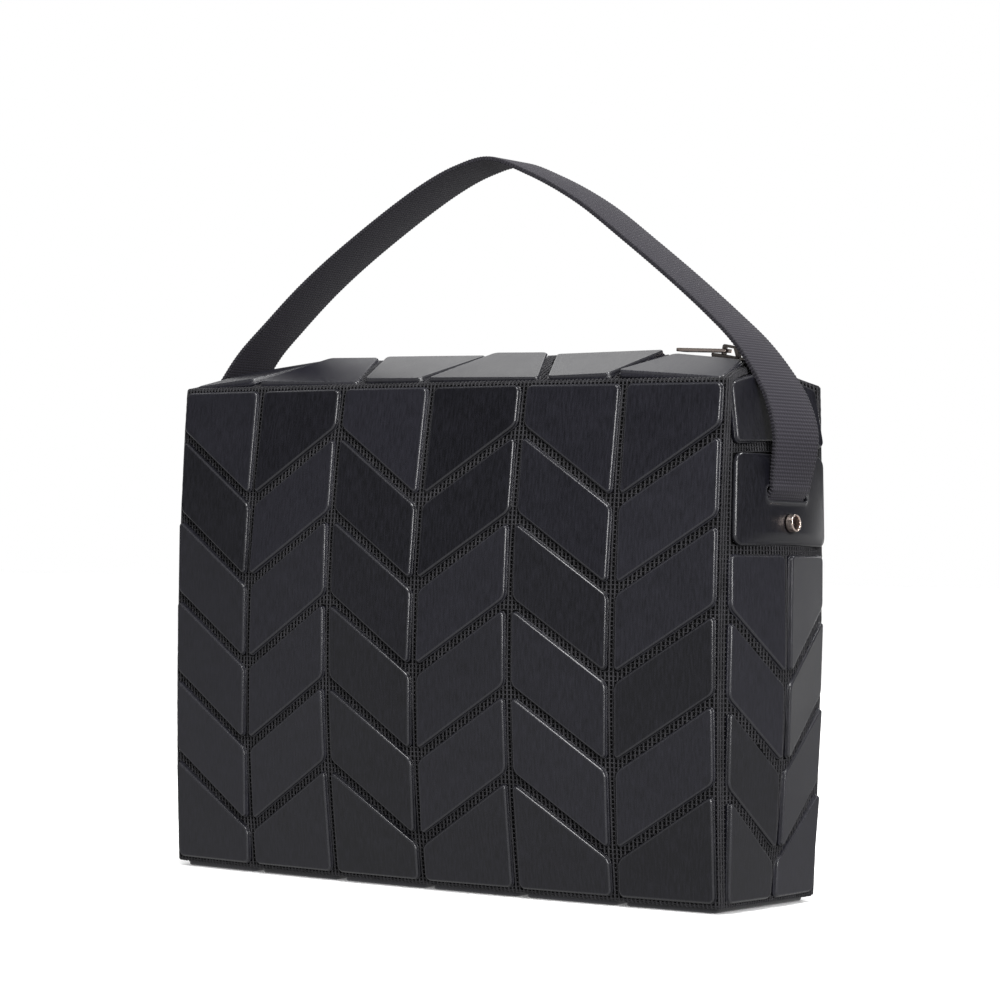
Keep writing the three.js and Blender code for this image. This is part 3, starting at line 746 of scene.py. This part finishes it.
def tile_parts(wall, corners, chance, tilts):
    """Points, faces, uv and painted rim highlight of one rounded tile on the plane that fits its
    corners.
    """
    on_face = wall.point(corners[:, 0], corners[:, 1])
    middle = on_face.mean(0)
    spokes = on_face - middle
    out = np.cross(spokes, np.roll(spokes, -1, 0)).sum(0)
    out = out / np.linalg.norm(out)
    along = wall.along - out * (wall.along @ out)
    along = along / np.linalg.norm(along)
    up = np.cross(out, along)
    flat = np.stack([spokes @ along, spokes @ up], 1)
    outline = rounded_outline(flat, TILE_CORNER)
    count = len(outline)
    points, faces, uv, rim_paint = [], [], [], []
    tilt = [chance.uniform(-tilts, tilts) for _ in range(2)]
    corner_shift = [chance.uniform(0, 1) for _ in range(2)]

    def add_ring(ring, height, rim_painted):
        first = len(points)
        for a, b in ring:
            lean = (a * tilt[0] + b * tilt[1]) * min(max(height, 0), 1)
            points.append(middle + along * a + up * b + out * (height + lean))
            uv.append((a * MM + corner_shift[0], b * MM + corner_shift[1]))
            rim_paint.append(rim_painted)
        return first

    # The bevel rings are flagged for the painted rim highlight
    firsts = [
        add_ring(moved_outline(outline, shift), height, 1.0 if number in EDGE_RINGS else 0.0)
        for number, (shift, height) in enumerate(TILE_PROFILE)
    ]
    for first, second in zip(firsts, firsts[1:]):
        faces += ring_faces(first, second, count)
    faces.append(tuple(range(firsts[-1], firsts[-1] + count)))
    faces.append(tuple(range(firsts[0], firsts[0] + count))[::-1])
    return points, faces, uv, rim_paint


def tiles_mesh(name, wall, outlines, seed):
    chance = random.Random(seed)
    tilts = TILE_TILTS.get(name, FACE_TILT)
    points, faces, uv, rim_paint, tone = [], [], [], [], []
    for corners in outlines:
        new_points, new_faces, new_uv, new_rim_paint = tile_parts(wall, corners, chance, tilts)
        first = len(points)
        points += new_points
        faces += [tuple(first + i for i in face) for face in new_faces]
        uv += new_uv
        rim_paint += new_rim_paint
        tone += [chance.uniform(0, 1)] * len(new_points)
    mesh = mesh_of(name, points, faces, TILE)
    add_uv(mesh, "tile_uv", uv)
    add_values(mesh, "painted_rim_highlight", rim_paint)
    add_values(mesh, "tile_tone", tone)
    return mesh


def add_uv(mesh, name, per_vertex):
    layer = mesh.uv_layers.new(name=name)
    corners = [loop.vertex_index for loop in mesh.loops]
    layer.data.foreach_set("uv", np.asarray(per_vertex, np.float32)[corners].ravel())


def add_values(mesh, name, values, kind="FLOAT", domain="POINT"):
    data = mesh.attributes.new(name, kind, domain).data
    key = "vector" if kind == "FLOAT_VECTOR" else "value"
    data.foreach_set(key, np.asarray(values, bool if kind == "BOOLEAN" else np.float32).ravel())


HALF_GROOVE = GROOVE / 2
UNIT_SQUARE = ((0, 0), (1, 0), (1, 1), (0, 1))


def zigzag_outlines(width, columns, rows, top, top_margin, side_margin, first_line):
    def crossing(column, row):
        rise = ZIGZAG_RISE / 2 * (1 if (first_line + column) % 2 == 0 else -1)
        level = top if row == rows else row * BODY_HEIGHT / FACE_ROWS + rise
        return np.array([width * (column / columns - 0.5), level if row else TILE_STAND])

    made = []
    for column in range(columns):
        for row in range(rows):
            corners = [crossing(column + right, row + up) for right, up in UNIT_SQUARE]
            margins = (
                HALF_GROOVE if row else RIM_BAND,
                side_margin if column == columns - 1 else HALF_GROOVE,
                top_margin if row == rows - 1 else HALF_GROOVE,
                HALF_GROOVE if column else side_margin,
            )
            made.append(inset_outline(corners, margins))
    return made


def strip_outlines(width, columns, b, b_margins, slant):
    def corner(line, edge):
        lean = 0 if line in (0, columns) else slant * (1 if line % 2 == 0 else -1)
        return np.array([width * (line / columns - 0.5) + (2 * edge - 1) * lean, b[edge]])

    made = []
    for column in range(columns):
        corners = [corner(column + right, up) for right, up in UNIT_SQUARE]
        margins = (
            b_margins[0],
            CORNER_BAND if column == columns - 1 else HALF_GROOVE,
            b_margins[1],
            HALF_GROOVE if column else CORNER_BAND,
        )
        made.append(inset_outline(corners, margins))
    return made


def end_outlines(first_line):
    rows = math.ceil((PLATE_BOTTOM - ZIGZAG_RISE / 2 - GROOVE) * FACE_ROWS / BODY_HEIGHT)
    low_top = PLATE_BOTTOM - HALF_GROOVE
    margins = (HALF_GROOVE, CORNER_BAND)
    lower = zigzag_outlines(BODY_DEPTH, END_COLUMNS, rows, low_top, *margins, first_line)
    spread = (PLATE_TOP + HALF_GROOVE, BODY_HEIGHT)
    return lower + strip_outlines(BODY_DEPTH, END_COLUMNS, spread, (HALF_GROOVE, RIM_BAND), 0)


def face_outlines(first_line):
    return zigzag_outlines(
        BODY_LENGTH, FACE_COLUMNS, FACE_ROWS, BODY_HEIGHT, RIM_BAND, RIM_BAND, first_line
    )


def top_outlines(side):
    spread = sorted((side * HALF_DEPTH, side * ZIP_OPENING / 2))
    margins = (RIM_BAND, RIDGE_BAND) if side < 0 else (RIDGE_BAND, RIM_BAND)
    return strip_outlines(BODY_LENGTH, FACE_COLUMNS, spread, margins, side * TOP_SLANT)


def base_outlines():
    spread = (-HALF_DEPTH, HALF_DEPTH)
    return strip_outlines(BODY_LENGTH, FACE_COLUMNS, spread, (RIM_BAND, RIM_BAND), 0)


PLATE_OUTLINE = oblong(HALF_DEPTH - CORNER_BAND, PLATE_BOTTOM, PLATE_TOP)


def depth_outside(outline, a, b):
    """How far points lie outside a convex outline; negative inside."""
    worst = np.full(a.shape, -1e9)
    for i, corner in enumerate(outline):
        along = outline[(i + 1) % len(outline)] - corner
        along = along / np.linalg.norm(along)
        worst = np.maximum(worst, (a - corner[0]) * along[1] - (b - corner[1]) * along[0])
    return worst


def rib_lattice(name, wall, covers, cords, rows, low_edge=True, high_edge=True):
    """Crossings of the rib mesh where the covers leave it open, joined along both ways."""
    pitch = 2 * wall.half / cords
    a_lines = np.concatenate(
        [[-wall.half], -wall.half + pitch * (np.arange(cords) + 0.5), [wall.half]]
    )
    b_lines = np.concatenate([[wall.low] * low_edge, rows, [wall.high] * high_edge])
    a, b = np.meshgrid(a_lines, b_lines)
    keep = np.ones(a.shape, bool)
    for outline in covers:
        keep &= depth_outside(outline, a, b) > -TUCK
    edge_column = np.isin(np.arange(len(a_lines)), (0, len(a_lines) - 1))
    edge_row = np.zeros(len(b_lines), bool)
    edge_row[0] = low_edge
    edge_row[-1] = high_edge
    numbers = np.where(keep, np.cumsum(keep).reshape(keep.shape) - 1, -1)
    numbers = np.pad(numbers, (0, 1), constant_values=-1)
    edges, upright = [], []
    for row, column in zip(*np.nonzero(keep)):
        for up, on_rim in ((1, edge_column[column]), (0, edge_row[row])):
            there = numbers[row + up, column + 1 - up]
            if there >= 0 and not on_rim:
                edges.append((int(numbers[row, column]), int(there)))
                upright.append(up)
    points = wall.cloth(a[keep], b[keep], -CORD_RADIUS)
    mesh = mesh_of(name, points, [], None, edges)
    add_values(mesh, "upright", upright, "BOOLEAN", "EDGE")
    add_values(mesh, "out", wall.facing(a[keep], b[keep]), "FLOAT_VECTOR")
    return RIB_MESH.grow(name, mesh)


def close_lines(low, high, step, round_low=True, round_high=True):
    """Grid lines from low to high, closer together over each rounded edge."""
    start = low + CORNER_ROUND * round_low
    end = high - CORNER_ROUND * round_high
    turns = CORNER_ROUND * np.arange(4) / 4
    first, last = turns[: 4 * round_low], turns[: 4 * round_high]
    inner = np.linspace(start, end, max(2, round((end - start) / step) + 1))
    return np.concatenate([low + first, inner, (high - last)[::-1]])


def backing_mesh(name, wall, a_lines, b_lines):
    """Closed sheet of cloth behind the rib mesh."""
    a, b = np.meshgrid(a_lines, b_lines)
    rows, columns = a.shape
    points = np.concatenate(
        [wall.cloth(a, b, -lift).reshape(-1, 3) for lift in (BACKING_DEPTH, CLOTH)]
    )
    size = rows * columns
    faces = []
    for row in range(rows - 1):
        for column in range(columns - 1):
            corner = row * columns + column
            quad = (corner, corner + 1, corner + columns + 1, corner + columns)
            faces.append(quad)
            faces.append(tuple(size + i for i in quad[::-1]))
    grid = np.arange(size).reshape(rows, columns)
    sides = grid[0], grid[1:, -1], grid[-1, -2::-1], grid[-2:0:-1, 0]
    border = np.concatenate(sides).tolist()
    for here, after in zip(border, border[1:] + border[:1]):
        faces.append((after, here, size + here, size + after))
    return mesh_of(name, points, faces, BACKING)


RIB_MESH = rib_mesh_growth()
UPRIGHT_ROWS = TILE_STAND + CROSS_PITCH * (
    np.arange(round((BODY_HEIGHT - TILE_STAND) / CROSS_PITCH)) + 0.5
)
DEPTH_PITCH = BODY_DEPTH / CORDS_PER_END
DEPTH_ROWS = -HALF_DEPTH + DEPTH_PITCH * (np.arange(CORDS_PER_END) + 0.5)


def dress_wall(node, wall, outlines, covers, cords, rows, seed, spread=None, edges=(True, True)):
    placed(f"{node}_tiles", tiles_mesh(node, wall, outlines, seed), [node])
    settled(rib_lattice(f"{node}_rib_mesh", wall, covers, cords, rows, *edges), [node])
    low, high = spread or (wall.low, wall.high)
    a_lines = close_lines(-wall.half, wall.half, BACKING_STEPS[0])
    b_lines = close_lines(low, high, BACKING_STEPS[1], *edges)
    placed(f"{node}_backing", backing_mesh(node, wall, a_lines, b_lines), [node])


def dress_body():
    for name, first_line, seed in (("front", 0, 11), ("back", FACE_COLUMNS, 12)):
        outlines = face_outlines(first_line)
        sizes = outlines, CORDS_PER_FACE, UPRIGHT_ROWS
        dress_wall(f"{name}_wall", WALLS[name], outlines, *sizes, seed)
    for name, first_line, seed in (("right", FACE_COLUMNS, 13), ("left", 0, 14)):
        outlines = end_outlines(first_line)
        sizes = outlines + [PLATE_OUTLINE], CORDS_PER_END, UPRIGHT_ROWS
        dress_wall(f"{name}_end_wall", WALLS[name], outlines, *sizes, seed)
    hem = ZIP_OPENING / 2
    for side, node, seed in ((-1, "top_front_panel", 15), (1, "top_back_panel", 16)):
        outlines = top_outlines(side)
        rows = DEPTH_ROWS[side * DEPTH_ROWS > hem + PIECE_GAP]
        spread = (-HALF_DEPTH, -hem) if side < 0 else (hem, HALF_DEPTH)
        edges = (side < 0, side > 0)
        wall = WALLS["top"]
        dress_wall(node, wall, outlines, outlines, CORDS_PER_FACE, rows, seed, spread, edges)
    outlines = base_outlines()
    dress_wall("base_wall", WALLS["base"], outlines, outlines, CORDS_PER_FACE, DEPTH_ROWS, 17)


dress_body()


def eased(value):
    value = np.clip(value, 0, 1)
    return value * value * (3 - 2 * value)


SLOT_TOP = SLOT_LEVEL + SLOT_HEIGHT / 2
SLOT_FOOT = SLOT_LEVEL - SLOT_HEIGHT / 2
RIGHT = WALLS["right"]


def end_at(level):
    return RIGHT.point(0, level)[..., 0]


def plate_point(y, level, height):
    return RIGHT.point(y, level, PLATE_SEAT + height)


# Rings up each edge of a plate and on to its face: outset from the edge's outline, height
PLATE_EDGE = ((0, 0), (0, 1.45), (-0.04, 1.53), (-0.42, 1.94), (-0.54, 2.0), (-0.9, 2.0))
SLOT_EDGE = (
    (0, 0), (0, 1.9), (-0.08, 2.35), (-0.35, 2.62), (-0.75, 2.6), (-1.15, 2.3),
    (-1.6, 2.06), (-2.0, 2.0),
)
EYELET_EDGE = ((0, 0), (0, 1.8), (-0.2, 1.98), (-0.5, 2.0))
PLATE_GRID = 2.0
GRID_REACH = 28
GRID_MARGIN = 0.8
HOLE_TURNS = 24
LIP_FADE = 0.85
# Tone of each plate by side: the right plate is set darker than the left as painted shade
PLATE_SHADE_TONES = {1: 0.25, -1: 0.6}


def clear_of(limits, spot, margin):
    """Whether a spot lies this far inside the first outline and outside the holes."""
    turned = zip(limits, (1, -1, -1))
    rim, *holes = (depth_outside(limit[::turn], *spot) for limit, turn in turned)
    return rim < -margin and min(holes) > margin


def plate_mesh(name, side):
    """Plate with a rounded rim, a slot with a raised lip, and a round hole for the eyelet."""
    points, faces, rim_paint, flat = [], [], [], []

    def add(y, level, height, rim_painted=0.0):
        points.append(plate_point(y, level, height) * (side, 1, 1))
        flat.append((y * MM, level * MM))
        rim_paint.append(rim_painted)
        return len(points) - 1

    def add_rings(outline, profile, lip=None):
        """Rings up from the back; returns where the first and last start, and their count."""
        count = len(outline)
        firsts = []
        for shift, height in profile:
            ring = moved_outline(outline, shift)
            firsts.append(len(points))
            for y, level in ring:
                extra = max(height - PLATE_THICKNESS, 0)
                fade = lip(level) if lip else 1
                # The plate's bevel rings and the raised slot lip get the painted rim highlight
                rim_painted = 1.0 if lip and extra > 0.3 or not lip and 1 < height < 1.9 else 0.0
                add(y, level, height - extra * (1 - fade), rim_painted)
        for first, second in zip(firsts, firsts[1:]):
            faces.extend(ring_faces(first, second, count))
        return firsts[0], firsts[-1], count

    outer = rounded_outline(PLATE_OUTLINE, PLATE_CORNER, 6)
    half = SLOT_WIDTH / 2
    slot_corners = oblong(half, SLOT_FOOT, SLOT_TOP)[[0, 3, 2, 1]]
    slot = rounded_outline(slot_corners, SLOT_HEIGHT / 3)
    angles = np.linspace(0, -2 * math.pi, HOLE_TURNS, endpoint=False)
    hole = np.stack([EYELET_HOLE * np.cos(angles), EYELET_LEVEL + EYELET_HOLE * np.sin(angles)], 1)

    def lip(level):
        return 1 - LIP_FADE * float(eased((level - SLOT_FOOT - 1) / SLOT_HEIGHT))

    borders = [
        add_rings(outer, PLATE_EDGE),
        add_rings(slot, SLOT_EDGE, lip),
        add_rings(hole, EYELET_EDGE),
    ]
    for which, height in ((1, PLATE_THICKNESS), (0, 0)):
        rings = [range(border[which], border[which] + border[2]) for border in borders]
        numbers = [i for ring in rings for i in ring]
        limits = [np.array([flat[i] for i in ring]) / MM for ring in rings]
        for y in np.arange(-GRID_REACH, GRID_REACH + 0.1, PLATE_GRID):
            for level in np.arange(PLATE_BOTTOM + 1.5, PLATE_TOP - 1, PLATE_GRID):
                if clear_of(limits, (y, level), GRID_MARGIN):
                    numbers.append(add(y, level, height))
        edges, start = [], 0
        for ring in rings:
            edges += [(start + i, start + (i + 1) % len(ring)) for i in range(len(ring))]
            start += len(ring)
        plane = [Vector((flat[i][0] / MM, flat[i][1] / MM)) for i in numbers]
        found = delaunay_2d_cdt(plane, edges, [], 0, 1e-4, True)
        for face in found[2]:
            if clear_of(limits, np.mean([found[0][i] for i in face], 0), 0):
                corners = [numbers[found[3][i][0]] for i in face]
                faces.append(tuple(corners if which else corners[::-1]))
    if side < 0:
        faces = [face[::-1] for face in faces]
    mesh = mesh_of(name, points, faces, TILE)
    add_uv(mesh, "tile_uv", flat)
    add_values(mesh, "painted_rim_highlight", rim_paint)
    add_values(mesh, "tile_tone", [PLATE_SHADE_TONES[side]] * len(points))
    return mesh


for name, side in (("right", 1), ("left", -1)):
    node = f"{name}_strap_plate"
    placed(f"{node}_moulded", plate_mesh(node, side), [node])


# Handle


def side_path():
    def seat(level):
        return end_at(level) + PIECE_GAP + HANDLE_THICKNESS / 2

    over_plate = 2 * PIECE_GAP + PLATE_THICKNESS
    start = np.array([seat(SLOT_TOP) + over_plate, SLOT_TOP + HANDLE_THICKNESS])
    corner = WALLS["top"].point(HALF_LENGTH, 0)[[0, 2]]
    corner[0] = corner[0] + TILE_STAND + HANDLE_CLEARANCE + HANDLE_THICKNESS / 2
    rise = corner - start
    end_level = EYELET_LEVEL - HANDLE_END_BELOW_EYELET
    path = [
        (seat(end_level) - TAIL_RECESS, end_level),
        (seat(EYELET_LEVEL) - TAIL_RECESS, EYELET_LEVEL),
        (seat(SLOT_FOOT) - TAIL_RECESS, SLOT_FOOT),
        (seat(SLOT_TOP) + over_plate, SLOT_TOP),
        tuple(start),
    ]
    for up, out in SIDE_ROWS:
        path.append((start[0] + rise[0] * up + out * HANDLE_THICKNESS, start[1] + rise[1] * up))
    return path, corner


def smooth_line(points, steps):
    """Centripetal curve through the points."""
    points = np.asarray(points, float)
    ends = 2 * points[0] - points[1], 2 * points[-1] - points[-2]
    full = np.vstack([ends[0], points, ends[1]])
    made = []
    for i in range(len(full) - 3):
        p = full[i : i + 4]
        gaps = np.linalg.norm(np.diff(p, axis=0), axis=1) ** 0.5
        slopes = []
        for k in (0, 1):
            before, after = (p[k + 1] - p[k]) / gaps[k], (p[k + 2] - p[k + 1]) / gaps[k + 1]
            across = (p[k + 2] - p[k]) / (gaps[k] + gaps[k + 1])
            slopes.append((before - across + after) * gaps[1])
        for t in np.linspace(0, 1, steps, endpoint=False):
            made.append(
                (2 * t**3 - 3 * t**2 + 1) * p[1]
                + (t**3 - 2 * t**2 + t) * slopes[0]
                + (3 * t**2 - 2 * t**3) * p[2]
                + (t**3 - t**2) * slopes[1]
            )
    made.append(points[-1])
    return np.array(made)


def twist(mesh, low, high):
    """Turns the side stretches a little about their own length between two heights."""
    places = np.zeros(3 * len(mesh.vertices))
    mesh.vertices.foreach_get("co", places)
    places = places.reshape(-1, 3)
    share = np.clip((places[:, 2] / MM - low) / (high - low), 0, 1) ** 0.7
    turn = SIDE_TWIST * np.sin(math.pi * share) ** 2
    places[:, 0] += places[:, 1] * turn
    mesh.vertices.foreach_set("co", places.ravel())
    mesh.update()


def handle_piece():
    side, corner = side_path()
    arch = [(across * corner[0], corner[1] + up * HANDLE_RISE) for across, up in ARCH_ROWS]
    mirrored = [(-x, z) for x, z in reversed(side)]
    line = smooth_line([*side, corner, *arch, (-corner[0], corner[1]), *mirrored], LINE_STEPS)
    points = np.stack([line[:, 0], np.zeros(len(line)), line[:, 1]], 1)
    strap = strap_growth().grow("handle_webbing", line_mesh("handle_line", points))
    twist(strap.data, SLOT_FOOT - 2, corner[1] + HANDLE_RISE / 3)
    settled(strap, ["handle_strap"])


handle_piece()


# Eyelets: radius and height of the section, height 0 on the plate's face
EYELET_SECTION = (
    (2.72, -6.4), (4.4, -6.4), (4.4, -5.75), (3.05, -5.65), (3.05, -0.1), (3.44, -0.05),
    (3.46, 0.2), (3.42, 2.35), (3.38, 2.75), (3.22, 2.95), (3.05, 3.0), (2.88, 2.94),
    (2.74, 2.72), (2.7, 2.4), (2.7, 0.0),
)
EYELET_TURNS = 56


def eyelet_piece(name, side):
    slope = (end_at(EYELET_LEVEL + 1) - end_at(EYELET_LEVEL - 1)) / 2
    facing = np.array([1, 0, -slope]) / math.hypot(1, slope)
    stand = PLATE_SEAT + PLATE_THICKNESS + PIECE_GAP
    seat = np.array([end_at(EYELET_LEVEL), 0, EYELET_LEVEL]) + facing * stand
    upward = np.cross(facing, Y)
    points, faces = [], []
    for radius, height in EYELET_SECTION:
        for i in range(EYELET_TURNS):
            angle = 2 * math.pi * i / EYELET_TURNS
            spoke = np.array(Y) * math.cos(angle) + upward * -math.sin(angle)
            points.append((seat + facing * height + spoke * radius) * (side, 1, 1))
    count = len(EYELET_SECTION)
    for ring in range(count):
        after = (ring + 1) % count
        faces += ring_faces(ring * EYELET_TURNS, after * EYELET_TURNS, EYELET_TURNS)
    if side < 0:
        faces = [face[::-1] for face in faces]
    node = f"{name}_eyelet"
    placed(f"{node}_rolled", mesh_of(node, points, faces, NICKEL), [node])


eyelet_piece("right", 1)
eyelet_piece("left", -1)


# Zip
CHAIN_ENDS = (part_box("zip_chain")[0].x / MM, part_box("zip_chain")[1].x / MM)
CHAIN_FOOT = CLOTH + PIECE_GAP + 0.35
CHAIN_MARGIN = 0.8
CHAIN_POINTS = 120
FLAT_ANGLE = math.radians(4)
BEVEL_ANGLE = math.radians(28)


def chain_piece():
    x = np.linspace(CHAIN_ENDS[0] + CHAIN_MARGIN, CHAIN_ENDS[1] - CHAIN_MARGIN, CHAIN_POINTS)
    line = line_mesh("chain_line", WALLS["top"].point(x, 0, -CHAIN_FOOT))
    settled(coil_growth().grow("zip_chain_coil", line), ["zip_chain"])


chain_piece()


def softened_copy(node, name, width, material, body):
    """The node's own shape with its corners rounded."""
    shape = bmesh.new()
    shape.from_mesh(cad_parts[node].data)
    bmesh.ops.remove_doubles(shape, verts=shape.verts, dist=1e-6)
    bmesh.ops.dissolve_limit(shape, angle_limit=FLAT_ANGLE, verts=shape.verts, edges=shape.edges)
    mesh = bpy.data.meshes.new(name)
    shape.to_mesh(mesh)
    shape.free()
    mesh.materials.clear()
    mesh.materials.append(material)
    piece = added(name, mesh)
    bevel = piece.modifiers.new("rounding", "BEVEL")
    bevel.width = width * MM
    bevel.segments = 3
    bevel.limit_method = "ANGLE"
    bevel.angle_limit = BEVEL_ANGLE
    bevel.harden_normals = True
    settled(piece, [node], body)


softened_copy("zip_slider", "zip_slider_cast", 0.28, DARK_NICKEL, "bag")
softened_copy("zip_pull", "zip_pull_plate", 0.32, NICKEL, "pull")

for node in ("zip_tape_front", "zip_tape_back"):
    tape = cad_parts[node]
    tape.data.materials.clear()
    tape.data.materials.append(TAPE)


# Stage, in metres
FLOOR_RADIUS = 14
FLOOR_DROP = 0.0002


def make_stage():
    constants = {
        "Specular IOR Level": 0.1,
        "Emission Color": (1, 1, 1, 1),
        "Emission Strength": 0.14,
    }
    made = Finish("pale_floor", constants)
    fine = made.noise(made.own_place(), 14, 3)
    colour = made.mixed(fine, (0.9, 0.9, 0.9), (0.93, 0.93, 0.93))
    bpy.ops.mesh.primitive_circle_add(vertices=96, radius=FLOOR_RADIUS, fill_type="NGON")
    floor = bpy.context.object
    floor.name = "floor"
    floor.location.z = -FLOOR_DROP
    floor.visible_diffuse = False
    floor.visible_glossy = False
    floor.data.materials.append(made.done(base_color=colour, roughness=0.8 + fine * 0.1))


def soft_light(name, place, aim, size, power):
    data = bpy.data.lights.new(name, "AREA")
    data.shape = "RECTANGLE"
    data.size, data.size_y = size
    data.energy = power
    lamp = added(name, data)
    lamp.location = place
    lamp.rotation_euler = (Vector(aim) - Vector(place)).to_track_quat("-Z", "Y").to_euler()
    lamp.visible_camera = False


# Strength of the surroundings: seen and lighting from above, mirrored, and both below the horizon
SKY = 1.0
SKY_MIRRORED = 0.06
GROUND = 0.5
HORIZON = 1 / 24


def make_sky():
    made = Sky("studio", {"Color": (1, 1, 1, 1)})
    upward = made.part(made.node("ShaderNodeTexCoord", output="Generated"), "Z")
    above = upward.held(-HORIZON, HORIZON)
    mirrored = made.node("ShaderNodeLightPath", output="Is Glossy Ray")
    seen = made.node("ShaderNodeLightPath", output="Is Camera Ray")
    high = mirrored * (SKY_MIRRORED - SKY) + SKY
    strength = above * (high - GROUND) + GROUND
    bpy.context.scene.world = made.done(strength=strength.maths("MAXIMUM", strength, seen))


make_stage()
make_sky()
soft_light("right_window", (1.4, -1.0, 0.55), (0.1, 0, 0.12), (0.4, 0.9), 21)
soft_light("front_overhead", (0.5, -0.7, 1.65), (0, 0, 0.12), (0.7, 0.5), 22)
soft_light("top_left_window", (-1.0, 0.95, 1.25), (0, 0, 0.2), (1.1, 1.0), 5)
soft_light("rear_overhead", (0.5, 0.95, 1.7), (0, 0, 0.2), (0.35, 0.35), 9)
soft_light("rear_right_window", (0.3, 1.9, 0.3), (0.1, 0, 0.12), (0.5, 0.8), 0.7)
soft_light("rear_window", (-0.35, 1.9, 0.25), (0.1, 0, 0.12), (0.7, 0.8), 6)
soft_light("front_left_window", (-1.15, -1.5, 0.45), (0, 0, 0.12), (0.8, 0.7), 0.15)
bpy.context.scene.view_settings.view_transform = "Standard"
